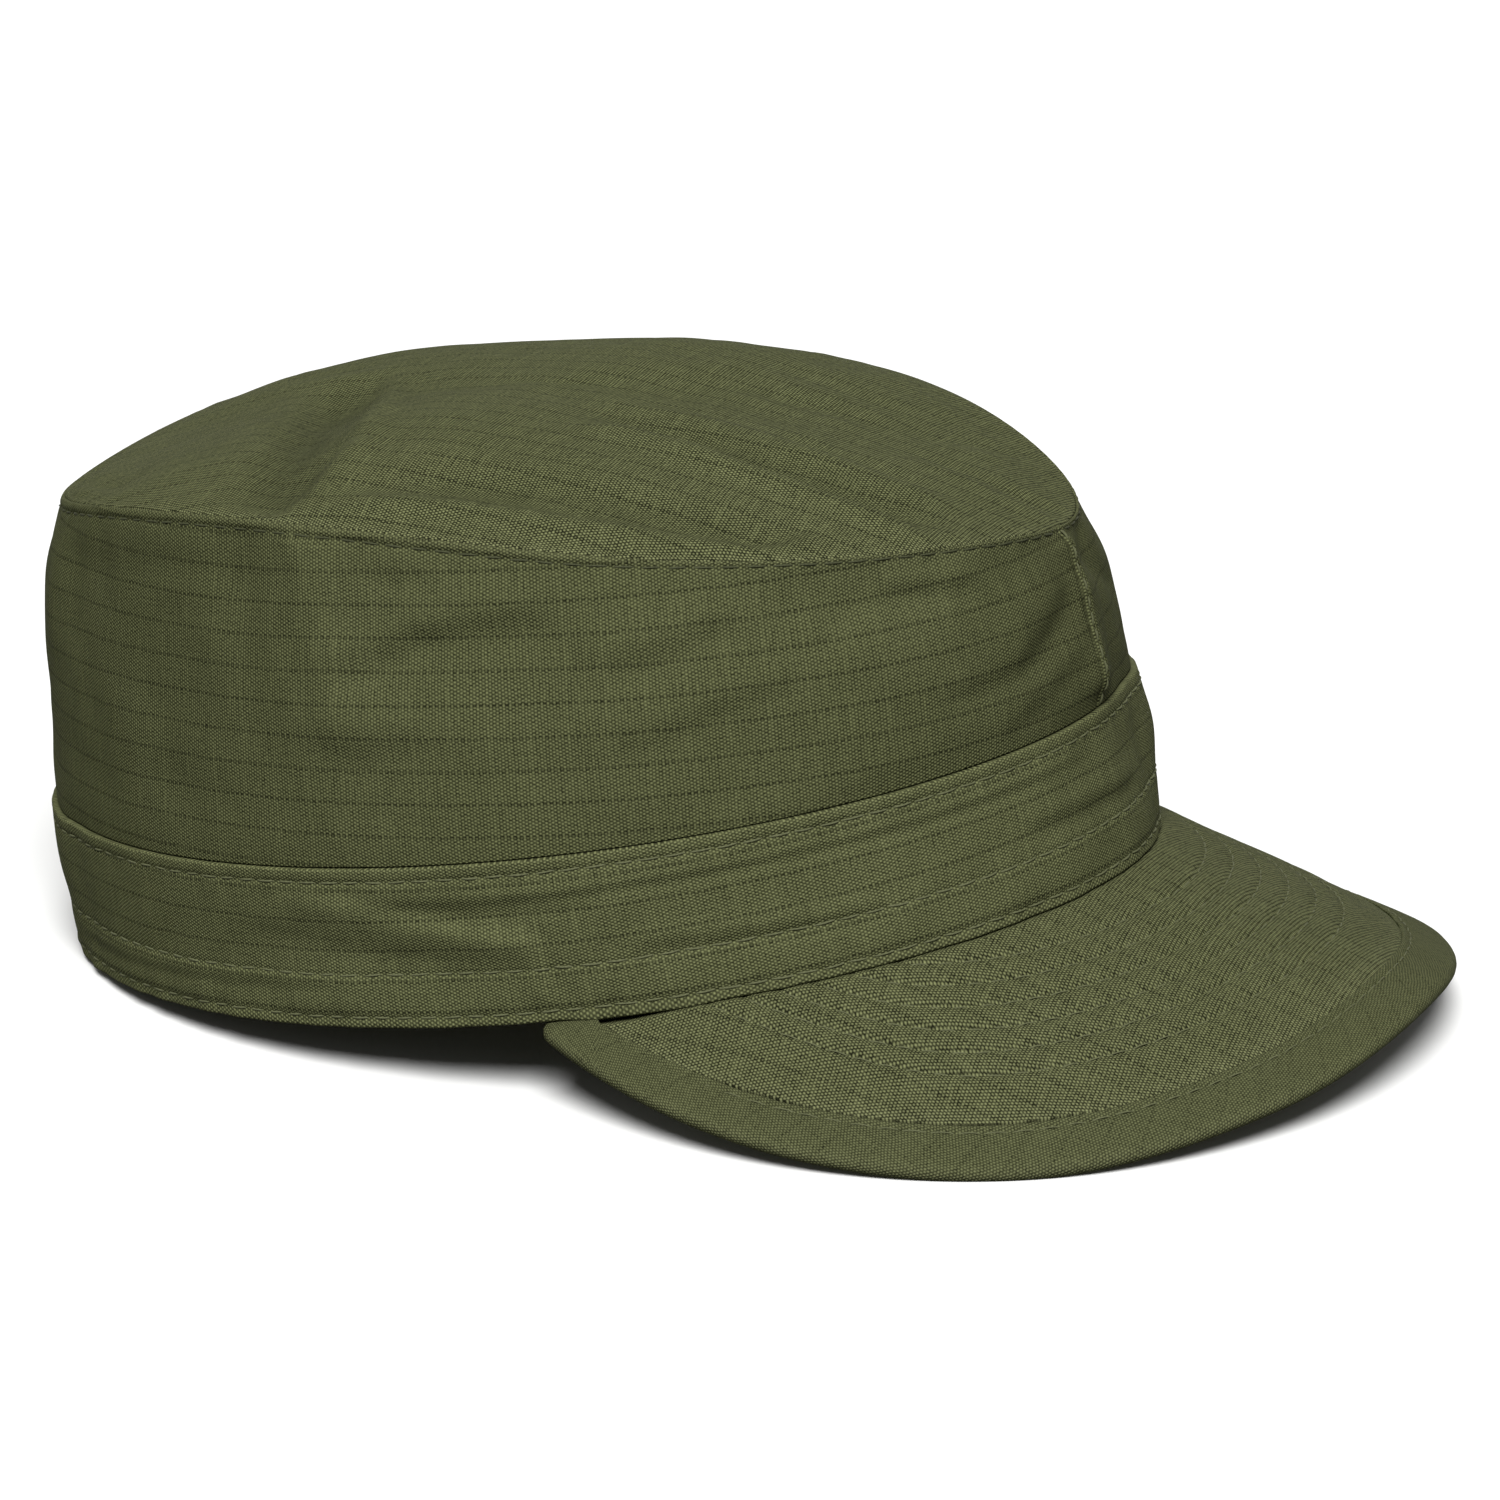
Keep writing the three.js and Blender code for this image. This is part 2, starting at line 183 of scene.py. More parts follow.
def side_point(lower, lower_inset, upper, upper_inset, share, angle, level):
    """A place between two ovals, pushed out by the side's roll and pressed in by its dents."""
    roll = np.where(level > 0, SIDE_FULLNESS * np.sin(np.pi * np.clip(level, 0, 1)), 0)
    shift = (roll - dent_depth(angle, level)) * (1 - level**6)
    outward = np.stack([np.cos(angle) / RIM["front"], np.sin(angle) / RIM["side"]])
    outward = outward / np.linalg.norm(outward, axis=0)
    a = oval_place(lower, angle, lower_inset)
    b = oval_place(upper, angle, upper_inset)
    return cap_point(
        mix(a[0], b[0], share) + outward[0] * shift,
        mix(a[1], b[1], share) + outward[1] * shift,
        mix(a[2], b[2], share),
    )


def cloth_height(lower, upper, angle):
    a, b = oval_place(lower, angle, 0), oval_place(upper, angle, 0)
    return np.sqrt(sum((p - q) ** 2 for p, q in zip(a, b)))


def wall_height(angle):
    return cloth_height(BAND_TOP, TOP_SEAM, angle)


def crown_side_point(angle, level, depth):
    behind_band = BAND_CLOTH + CLEARANCE + depth
    seam_gap = SEWN_GAP / (TOP_SEAM["front_height"] - BAND_TOP["front_height"])
    foot = side_point(RIM, behind_band, BAND_TOP, behind_band, level + 1, angle, level)
    wall = side_point(BAND_TOP, behind_band, TOP_SEAM, depth, level * (1 - seam_gap), angle, level)
    wall[..., 2] -= depth * level
    above_band = np.maximum(level, 0) * wall_height(angle)
    bulge = 0.9 * between(above_band, 0.02, 0.2, 1, 16)
    outward_turn = np.stack([-np.sin(angle) / RIM["side"], -np.cos(angle) / RIM["front"]], axis=-1)
    outward_turn = outward_turn / np.linalg.norm(outward_turn, axis=-1, keepdims=True)
    wall[..., :2] += bulge[..., None] * outward_turn
    return np.where((level < 0)[..., None], foot, wall)


def outward(points, is_ring):
    """Outward normals of a grid of points. Columns run to the wearer's right, and rows up."""
    across = np.gradient(points, axis=0)
    if is_ring:
        across = np.roll(points, -1, axis=0) - np.roll(points, 1, axis=0)
    up = np.gradient(points, axis=1)
    normal = np.cross(up, across)
    length = np.linalg.norm(normal, axis=-1, keepdims=True)
    return normal / np.maximum(length, 1e-9)


def soft_waves(points, size, seed):
    """Uneven swells over the cloth, mostly between -1 and 1, of about one size in millimetres."""
    rng = np.random.default_rng(seed)
    total = 0
    count = 10
    for _ in range(count):
        heading = rng.normal(size=3)
        heading *= 2 * np.pi / (size * rng.uniform(0.7, 1.6) * np.linalg.norm(heading))
        total = total + np.cos(points @ heading + rng.uniform(0, 2 * np.pi))
    return total / math.sqrt(count)


def swells(points, *kinds):
    """Swells of several kinds, each with its height, its size in millimetres and a seed."""
    return sum(height * soft_waves(points, size, seed) for height, size, seed in kinds)


def rounded_edge(distance, radius):
    """How far a turned edge falls back, by distance in from the fold."""
    t = np.clip(1 - distance / radius, 0, 1)
    return -radius * (1 - np.sqrt(1 - t * t))


def thread_groove(distance, along, pitch, depth=0.4):
    """The dent under a row of stitches, deepest where the thread goes in between two of them."""
    width = 0.5
    bite = 0.7 - 0.3 * np.cos(2 * np.pi * along / pitch)
    return -depth * bite * bell(distance, width)


def length_along(points):
    """Running length down each column of places, from the first."""
    steps = np.linalg.norm(np.diff(points, axis=0), axis=-1)
    return np.concatenate([np.zeros_like(steps[:1]), np.cumsum(steps, axis=0)])


def laid_on_table(points):
    """Places of the leaning cap in metres, laid flat where they would pass through the table."""
    x, y, z = points[..., 0], points[..., 1], points[..., 2]
    table = -(-y * math.sin(LEAN) + LIFT) / math.cos(LEAN)
    z = np.maximum(z, table)
    return MM * np.stack(
        [
            x,
            y * math.cos(LEAN) + z * math.sin(LEAN) + BACK_SHIFT,
            -y * math.sin(LEAN) + z * math.cos(LEAN) + LIFT,
        ],
        axis=-1,
    )


def placed(name, data):
    thing = bpy.data.objects.new(name, data)
    bpy.context.scene.collection.objects.link(thing)
    return thing


def cloth_piece(name, outer, inner, flat_outer, flat_inner, wear_and_shade, is_ring=False, has_pole=False):
    """One closed cloth shell from an outer and an inner grid of places. The flat grids say where
    each place lies on the flat cloth, in millimetres, with one more column than a ring has."""
    loop = np.concatenate([outer, inner[:, ::-1]], axis=1)
    flat = np.concatenate([flat_outer, flat_inner[:, ::-1]], axis=1)
    columns, rows = loop.shape[:2]
    spans = columns if is_ring else columns - 1
    i, k = np.meshgrid(np.arange(spans), np.arange(rows), indexing="ij")
    corners = [(i, k), (i, (k + 1) % rows), (i + 1, (k + 1) % rows), (i + 1, k)]
    faces = np.stack([(a % columns) * rows + b for a, b in corners], axis=-1).reshape(-1, 4)
    places = np.stack([flat[a, b] for a, b in corners], axis=-2).reshape(-1, 2)
    if not is_ring:
        half = rows // 2
        k = np.arange(half - 1)
        for column, order in ((0, 1), (columns - 1, -1)):
            ends = np.stack([k, rows - 1 - k, rows - 2 - k, k + 1], axis=-1)[:, ::order]
            faces = np.concatenate([faces, column * rows + ends])
            places = np.concatenate([places, flat[column, ends].reshape(-1, 2)])
    mesh = bpy.data.meshes.new(name)
    mesh.from_pydata(laid_on_table(loop).reshape(-1, 3).tolist(), [], faces.tolist())
    mesh.uv_layers.new(name="cloth").data.foreach_set("uv", places.ravel().astype(np.float32))
    # The wear and shade attribute holds edge wear where it is over nothing and painted shade where it
    # is under nothing.
    worn_and_shaded = mesh.attributes.new("worn_and_shaded", "FLOAT", "POINT")
    worn_and_shaded_loop = np.zeros(loop.shape[:2])
    worn_and_shaded_loop[:, : outer.shape[1]] = wear_and_shade
    worn_and_shaded.data.foreach_set("value", worn_and_shaded_loop.ravel().astype(np.float32))
    if has_pole:
        welded = bmesh.new()
        welded.from_mesh(mesh)
        bmesh.ops.remove_doubles(welded, verts=welded.verts, dist=0.01 * MM)
        welded.to_mesh(mesh)
        welded.free()
    mesh.shade_smooth()
    mesh.validate()
    return placed(name, mesh)


def feed(tree, node, inputs):
    """Gives a node its inputs, each another node's socket or a plain value."""
    for socket, value in inputs.items():
        if isinstance(value, bpy.types.NodeSocket):
            tree.links.new(value, node.inputs[socket])
        else:
            node.inputs[socket].default_value = value


def add_node(tree, kind, inputs, **settings):
    node = tree.nodes.new(kind)
    for name, value in settings.items():
        setattr(node, name, value)
    feed(tree, node, inputs)
    return node


def maths(tree, operation, *values):
    return add_node(tree, "ShaderNodeMath", dict(enumerate(values)), operation=operation).outputs[0]


def noise(tree, place, scale, detail):
    inputs = {"Vector": place, "Scale": scale, "Detail": detail}
    return add_node(tree, "ShaderNodeTexNoise", inputs).outputs


def add_shares(tree, total, *parts):
    """The total and a share of each part, given as the part and its share."""
    for part, share in parts:
        total = maths(tree, "MULTIPLY_ADD", part, share, total)
    return total


def near_line(tree, value, pitch, inner, outer):
    """One on evenly spaced lines, nothing further than the outer distance from them."""
    share = maths(tree, "FRACT", maths(tree, "DIVIDE", value, pitch))
    off = maths(tree, "ABSOLUTE", maths(tree, "SUBTRACT", share, 0.5))
    distance = maths(tree, "MULTIPLY", off, pitch)
    ramp = {"Value": distance, "From Min": inner, "From Max": outer, "To Min": 1.0, "To Max": 0.0}
    return add_node(tree, "ShaderNodeMapRange", ramp, interpolation_type="SMOOTHSTEP").outputs["Result"]


def new_group(name, kind, inputs, outputs):
    """A node group. Each socket is given as its name and type, an input with its value too."""
    tree = bpy.data.node_groups.new(name, kind)
    for way, sockets in (("INPUT", inputs), ("OUTPUT", outputs)):
        for label, socket_type, *value in sockets:
            socket_type = "NodeSocket" + socket_type
            socket = tree.interface.new_socket(label, in_out=way, socket_type=socket_type)
            if value:
                socket.default_value = value[0]
    return tree, tree.nodes.new("NodeGroupInput").outputs, tree.nodes.new("NodeGroupOutput").inputs


def ripstop_weave_group():
    """Plain weave of uneven threads, with thicker rib threads both ways. The level ribs show as
    dark dots, where the thick weft dips under every other warp thread."""
    tree, given, put = new_group(
        "ripstop weave",
        "ShaderNodeTree",
        [
            ("Cloth", "Vector"),
            ("Warp", "Float", 0.566),
            ("Weft", "Float", 0.3),
            ("Upright ribs", "Float", 7.0),
            ("Level ribs", "Float", 5.6),
            ("Rib show", "Float", 1.0),
            ("Contrast", "Float", 1.0),
        ],
        [("Height", "Float"), ("Shade", "Float")],
    )
    wander = noise(tree, given["Cloth"], 0.22, 2.0)
    shift = {0: wander["Color"], 1: (0.3, 0.3, 0.0), 2: given["Cloth"]}
    wandering = add_node(tree, "ShaderNodeVectorMath", shift, operation="MULTIPLY_ADD")
    place = add_node(tree, "ShaderNodeSeparateXYZ", {0: wandering.outputs[0]})
    x, y = place.outputs["X"], place.outputs["Y"]

    def thread_wave(across, pitch):
        half_turns = maths(tree, "DIVIDE", maths(tree, "MULTIPLY", across, math.pi), pitch)
        return maths(tree, "SINE", half_turns)

    warp, weft = thread_wave(x, given["Warp"]), thread_wave(y, given["Weft"])
    over = maths(tree, "MULTIPLY", warp, weft)
    threads = maths(tree, "MULTIPLY_ADD", maths(tree, "ABSOLUTE", warp), 0.5, -0.318)
    threads = maths(tree, "MULTIPLY_ADD", over, 0.5, threads)

    def uneven_threads(stretch):
        ends = {0: wandering.outputs[0], 1: stretch}
        pulled = add_node(tree, "ShaderNodeVectorMath", ends, operation="MULTIPLY").outputs[0]
        return maths(tree, "SUBTRACT", noise(tree, pulled, 1.0, 1.0)["Fac"], 0.5)

    upright_slub = uneven_threads((1.7, 0.14, 1.0))
    level_slub = uneven_threads((0.14, 2.2, 1.0))
    flecks = uneven_threads((1.5, 2.2, 1.0))
    varied = maths(tree, "MULTIPLY_ADD", wander["Fac"], 0.8, 0.6)
    seen = maths(tree, "MULTIPLY", varied, given["Rib show"])
    upright_rib = maths(tree, "MULTIPLY", near_line(tree, x, given["Upright ribs"], 0.1, 0.4), seen)
    level_rib = maths(tree, "MULTIPLY", near_line(tree, y, given["Level ribs"], 0.18, 0.42), seen)
    dots = maths(tree, "MULTIPLY_ADD", over, 0.5, 0.5)
    dotted = maths(tree, "MULTIPLY", level_rib, maths(tree, "MULTIPLY_ADD", warp, 0.5, dots))
    raised = (upright_rib, 0.3), (dotted, -0.6), (flecks, 1.0), (level_slub, 0.5)
    tree.links.new(add_shares(tree, threads, *raised), put["Height"])
    shade = maths(tree, "MULTIPLY", threads, 1.35)
    shade = add_shares(tree, shade, (upright_slub, 0.4), (level_slub, 0.3), (flecks, 1.0))
    shade = maths(tree, "MULTIPLY_ADD", shade, given["Contrast"], 1.0)
    shade = add_shares(tree, shade, (upright_rib, 0.1), (dotted, -0.48))
    tree.links.new(maths(tree, "MAXIMUM", shade, 0.15), put["Shade"])
    return tree


def fade_and_painted_shade_group():
    """Dye that has faded unevenly, paler on turned edges where the wear and shade input is over
    nothing. Painted shade darkens the cloth where that input is under nothing: in the hollows of the
    top's folds and behind the side's turn."""
    tree, given, put = new_group(
        "fade and painted shade",
        "ShaderNodeTree",
        [
            ("Colour", "Color", (0.1, 0.1, 0.1, 1)),
            ("Shade", "Float", 1.0),
            ("Place", "Vector"),
            ("Worn", "Float", 0.0),
            ("Faded colour", "Color", (0.2, 0.2, 0.2, 1)),
        ],
        [("Colour", "Color"), ("Roughness", "Float")],
    )
    blotches = noise(tree, given["Place"], 38.0, 4.0)["Fac"]
    bleached = maths(tree, "MULTIPLY_ADD", blotches, 0.35, -0.14)
    specks = noise(tree, given["Place"], 900.0, 1.0)["Fac"]
    rubbed = maths(tree, "MULTIPLY", given["Worn"], maths(tree, "ADD", specks, 0.3))
    fade = maths(tree, "MAXIMUM", maths(tree, "ADD", bleached, rubbed), 0.0)
    # Painted shade: where the wear and shade input is under nothing, the cloth is darkened to stand in
    # for shade in hollows and behind the side's turn.
    painted_shade_factor = maths(tree, "ADD", maths(tree, "MINIMUM", given["Worn"], 0.0), 1.0)
    shade = maths(tree, "MULTIPLY", given["Shade"], painted_shade_factor)
    dyes = {"Factor": fade, "A": given["Colour"], "B": given["Faded colour"]}
    faded = add_node(tree, "ShaderNodeMix", dyes, data_type="RGBA")
    shaded = add_node(tree, "ShaderNodeVectorMath", {0: faded.outputs[2], 3: shade}, operation="SCALE")
    tree.links.new(shaded.outputs[0], put["Colour"])
    rough = maths(tree, "MULTIPLY_ADD", given["Shade"], 0.08, 0.8)
    tree.links.new(rough, put["Roughness"])
    return tree


ripstop_weave = ripstop_weave_group()
fade_and_painted_shade = fade_and_painted_shade_group()


def new_material(name):
    material = bpy.data.materials.new(name)
    material.use_nodes = True
    return material, material.node_tree, material.node_tree.nodes["Principled BSDF"]


def cloth_material(name, colour, faded, rib_show=1.0, contrast=1.15):
    material, tree, shader = new_material(name)
    uv = add_node(tree, "ShaderNodeUVMap", {}, uv_map="cloth")
    place = add_node(tree, "ShaderNodeTexCoord", {})
    worn_and_shaded = add_node(tree, "ShaderNodeAttribute", {}, attribute_name="worn_and_shaded")
    woven = {"Cloth": uv.outputs["UV"], "Rib show": rib_show, "Contrast": contrast}
    weave = add_node(tree, "ShaderNodeGroup", woven, node_tree=ripstop_weave)
    dyed = {
        "Shade": weave.outputs["Shade"],
        "Place": place.outputs["Object"],
        "Worn": worn_and_shaded.outputs["Fac"],
        "Colour": (*colour, 1),
        "Faded colour": (*faded, 1),
    }
    dye = add_node(tree, "ShaderNodeGroup", dyed, node_tree=fade_and_painted_shade)
    relief = {"Height": weave.outputs["Height"], "Strength": 0.55, "Distance": 0.00025}
    surface = {
        "Base Color": dye.outputs["Colour"],
        "Roughness": dye.outputs["Roughness"],
        "Normal": add_node(tree, "ShaderNodeBump", relief).outputs["Normal"],
        "Specular IOR Level": 0.02,
    }
    feed(tree, shader, surface)
    return material


OLIVE = (0.066, 0.071, 0.0318)
OLIVE_FADED = (0.1, 0.105, 0.052)
crown_cloth = cloth_material("olive ripstop crown", OLIVE, OLIVE_FADED)

# The topstitching lies close under the top seam at the front, and further down at the sides.
STITCH_PITCH = 4.6
ROW_FRONT, ROW_SIDE = 0.8, 1.9


def row_below_seam(angle):
    return mix(ROW_FRONT, ROW_SIDE, smooth(np.abs(degrees_round(angle)), 45, 75))


# The left panel's edge is turned in and lapped over the right one's, and sewn close to its fold.
CENTRE_SEAM_ROW = 1.1
CENTRE_PITCH = 3.2

# Tucks in the side's cloth, between (angle, level) places of the wearer's right.
SIDE_TUCKS = table("name x0 y0 x1 y1 height width", [
    ("seam's far side", -5, 0.97, -5, 0.03, 0.7, 5),
    ("front drag", 4, 0.69, 17, 0.4, 0.3, 4.5),
    ("front drag's foot", 15, 0.4, 28, 0.35, 0.3, 2.6),
    ("low drag", 2.5, 0.34, 10, 0.26, 0.22, 3.4),
    ("low drag's foot", 9, 0.27, 21, 0.07, 0.28, 3.4),
    ("under the front seam", 22, 0.83, 34, 0.84, 0.45, 2.2),
    ("first slant", 39, 0.86, 44, 0.66, 0.3, 2.5),
    ("second slant", 53, 0.78, 66, 0.63, 0.5, 2.6),
    ("third slant", 73, 0.79, 85, 0.71, 0.5, 2.4),
    ("third slant's foot", 84, 0.72, 95, 0.58, 0.6, 2.2),
    ("side slant", 46, 0.54, 55, 0.47, 0.25, 2.4),
    ("side slant's foot", 54, 0.48, 65, 0.35, 0.28, 2.6),
    ("low level tuck", 83, 0.39, 98, 0.37, 0.32, 2.6),
    ("small level tuck", 84, 0.89, 91, 0.88, 0.3, 1.8),
    ("seam allowance", 101, 0.87, 140, 0.87, 0.35, 2.6),
    ("rear level tuck", 109, 0.76, 121, 0.75, 0.25, 2.2),
    ("upright crease", 101, 0.99, 96.5, 0.4, -0.25, 2.5),
    ("side's turn", 104.5, 1, 99.5, 0.35, -0.75, 6),
    ("left slant", -60, 0.7, -44, 0.82, 0.4, 2.6),
    ("left low slant", -96, 0.38, -78, 0.46, 0.4, 2.6),
    ("left rear slant", -138, 0.8, -118, 0.6, 0.4, 2.6),
])


def grid_lines(*stretches):
    """The lines of a grid in stretches, each with its start, its end and their count."""
    return np.concatenate([np.linspace(*stretch) for stretch in stretches])


side_turns = np.radians(grid_lines((0.1, 5, 15), (5.6, 174.4, 240), (175, 179.9, 15)))
foot_levels = [-0.97, -0.75, -0.5, -0.25, 0, 0.0015, 0.004, 0.0075, 0.012]
side_levels = np.concatenate([foot_levels, grid_lines((0.02, 0.9, 50), (0.905, 1, 24))])


def side_surface(side):
    """A side's outer face with its fine shape: turned edges, grooves, puckers and creases."""
    angles = side_turns if side > 0 else -side_turns[::-1]
    angle, level = np.meshgrid(angles, side_levels, indexing="ij")
    base = crown_side_point(angle, level, 0)
    normal = outward(base, False)
    arc = length_along(base)
    from_front = np.abs(arc - np.where(angle[:1] < -1e-3, arc[-1:], 0))
    from_rear = np.abs(arc - np.where(angle[:1] < -1e-3, 0, arc[-1:]))
    from_seam = np.minimum(from_front, from_rear)
    below = (1 - level) * wall_height(angle)
    free = smooth(level, 0, 0.15)
    shape = swells(base, (0.25, 34, 3), (0.13, 13, 4)) * smooth(below, 0, 6) * free
    tucks = tuck_heights(degrees_round(angle), level, SIDE_TUCKS, DEGREES_PER_LEVEL)
    shape = shape + tucks * smooth(below, 0.5, 4) * free
    drag = soft_waves(base * [1, 1, 0.25], 7, 5) * np.exp(-below / 7)
    shape = shape + 0.22 * drag * smooth(below, 0.6, 2.5)
    gathered = soft_waves(base * [0.3, 0.3, 1], 8, 6) * np.exp(-from_seam / 9)
    shape = shape + 0.4 * gathered * free * smooth(below, 0.5, 4)
    lapped = np.where(angle < 0, 0.4, 0)
    ridge = lapped * bell(from_seam, 3.4, 4)
    fine = ridge * free * smooth(below, 0, 3)
    row = row_below_seam(angle)
    fine = fine + 0.3 * bell(below - row / 2, 0.9)
    fine = fine + thread_groove(below - row, arc, STITCH_PITCH, depth=0.25)
    height = np.cumsum(np.gradient(base[..., 2], axis=1), axis=1)
    fine = fine + thread_groove(from_seam - CENTRE_SEAM_ROW, height, CENTRE_PITCH) * free * (angle < 0)
    fine = fine + rounded_edge(below, 0.3) + rounded_edge(from_seam, np.where(angle < 0, 0.45, 0.55))
    return angle, level, base, normal, shape, fine, arc, below, from_seam


def side_panel(name, node, side):
    angle, level, base, normal, shape, fine, arc, below, from_seam = side_surface(side)
    outer = base + normal * (shape + fine)[..., None]
    lined = crown_side_point(angle, level, CROWN_CLOTH)
    inner = lined + normal * shape[..., None]
    mid = np.argmin(np.abs(side_levels - 0.5))
    around = np.broadcast_to(arc[:, mid : mid + 1], level.shape)
    slope_of_grain = 0.05
    flat = np.stack([around, base[..., 2] - slope_of_grain * base[..., 1]], axis=-1)
    wear_and_shade = 0.3 * bell(below, 1.2) + 0.05 * bell(from_seam, 1.5)
    # Painted shade: the cloth is darkened behind the side's turn towards the rear, where the side faces
    # away from the light. The edges are paler from wear.
    behind_turn = np.abs(np.degrees(angle)) - 97 - 8 * level
    wear_and_shade = wear_and_shade - 0.04 * between(behind_turn, -2, 2, 14, 45) * smooth(level, 0.15, 0.4)
    piece = cloth_piece(name, outer, inner, flat, flat, wear_and_shade)
    piece.data.materials.append(crown_cloth)
    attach(piece, "root")
    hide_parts(node)


side_panel("right_side_panel", "crown_side_right", 1)
side_panel("left_side_panel", "crown_side_left", -1)


def stitched_row_tree():
    """Lays one stitch at each step of a path: a short thread that dives into the cloth at both
    ends. The path's points carry the cloth's outward direction as the attribute lift."""
    tree, given, put = new_group(
        "stitched row",
        "GeometryNodeTree",
        [
            ("Geometry", "Geometry"),
            ("Pitch", "Float", 0.0046),
            ("Stitch", "Float", 0.0038),
            ("Thread", "Float", 0.0002),
            ("Dive", "Float", 0.0003),
            ("Material", "Material"),
        ],
        [("Geometry", "Geometry")],
    )

    def value(operation, *values):
        return maths(tree, operation, *values)

    def node(kind, inputs, **settings):
        return add_node(tree, kind, inputs, **settings)

    lift = node("GeometryNodeInputNamedAttribute", {"Name": "lift"}, data_type="FLOAT_VECTOR")
    path = node("GeometryNodeMeshToCurve", {"Mesh": given["Geometry"]})
    length = node("GeometryNodeSplineLength", {})
    steps = value("ROUND", value("DIVIDE", length.outputs["Length"], given["Pitch"]))
    spacing = {"Curve": path.outputs["Curve"], "Count": value("ADD", steps, 1.0)}
    spaced = node("GeometryNodeResampleCurve", spacing, mode="COUNT")

    half = value("MULTIPLY", given["Stitch"], 0.5)
    sunk = value("MULTIPLY", given["Dive"], -1.0)
    raised = value("MULTIPLY_ADD", given["Dive"], 1.0, given["Thread"])
    bend = {"Resolution": 5}
    for place, x, z in (
        ("Start", value("MULTIPLY", half, -1.0), sunk), ("Middle", 0.0, raised), ("End", half, sunk)
    ):
        bend[place] = node("ShaderNodeCombineXYZ", {"X": x, "Z": z}).outputs[0]
    arch = node("GeometryNodeCurveQuadraticBezier", bend)
    round_section = {"Resolution": 6, "Radius": given["Thread"]}
    section = node("GeometryNodeCurvePrimitiveCircle", round_section, mode="RADIUS")
    swept = {"Curve": arch.outputs["Curve"], "Profile Curve": section.outputs["Curve"]}
    thread = node("GeometryNodeCurveToMesh", {**swept, "Fill Caps": True})

    tangent = {"Vector": node("GeometryNodeInputTangent", {}).outputs[0]}
    forward = node("FunctionNodeAlignRotationToVector", tangent, axis="X")
    raise_to = {"Rotation": forward.outputs[0], "Vector": lift.outputs["Attribute"]}
    upright = node("FunctionNodeAlignRotationToVector", raise_to, axis="Z", pivot_axis="X")
    sway = {"Min": (-0.04, 0.0, -0.07), "Max": (0.04, 0.0, 0.07), "Seed": 5}
    yaw = node("FunctionNodeRandomValue", sway, data_type="FLOAT_VECTOR")
    turns = {"Rotation": upright.outputs[0], "Rotate By": yaw.outputs["Value"]}
    turned = node("FunctionNodeRotateRotation", turns, rotation_space="LOCAL")
    stretch = {"Min": (0.88, 0.9, 0.8), "Max": (1.04, 1.1, 1.15), "Seed": 11}
    scale = node("FunctionNodeRandomValue", stretch, data_type="FLOAT_VECTOR")
    laid = node(
        "GeometryNodeInstanceOnPoints",
        {
            "Points": spaced.outputs["Curve"],
            "Instance": thread.outputs["Mesh"],
            "Rotation": turned.outputs[0],
            "Scale": scale.outputs["Value"],
        },
    )
    real = node("GeometryNodeRealizeInstances", {"Geometry": laid.outputs["Instances"]})
    soft = node("GeometryNodeSetShadeSmooth", {"Geometry": real.outputs["Geometry"]})
    dressed = {"Geometry": soft.outputs["Geometry"], "Material": given["Material"]}
    done = node("GeometryNodeSetMaterial", dressed)
    tree.links.new(done.outputs["Geometry"], put["Geometry"])
    return tree


stitched_row = stitched_row_tree()


def thread_material(name, colour):
    """Spun polyester thread, a little smoother than the cloth, with its twist as a fine wave."""
    material, tree, shader = new_material(name)
    place = add_node(tree, "ShaderNodeTexCoord", {})
    twist = noise(tree, place.outputs["Object"], 2600.0, 1.0)["Fac"]
    shade = maths(tree, "MULTIPLY_ADD", twist, 0.9, 0.5)
    dyed = add_node(tree, "ShaderNodeVectorMath", {0: colour, 3: shade}, operation="SCALE")
    relief = {"Height": twist, "Strength": 0.5, "Distance": 0.0001}
    surface = {
        "Base Color": dyed.outputs[0],
        "Roughness": 0.75,
        "Normal": add_node(tree, "ShaderNodeBump", relief).outputs["Normal"],
        "Specular IOR Level": 0.15,
    }
    feed(tree, shader, surface)
    return material


THREAD_RADIUS = 0.19
FINE_THREAD_RADIUS = 0.14
THICK_THREAD_RADIUS = 0.24
STITCH_SHARE = 0.82
STITCH_DIVE = 0.28
ON_CLOTH = 0.04
olive_thread = thread_material("olive thread", (0.098, 0.104, 0.052))
# Painted shade: the top seam's thread is the same olive thread, painted darker so that its stitches
# look shadowed in their groove.
shade_darkened_thread = thread_material("olive thread darkened as painted shade", (0.05, 0.054, 0.026))


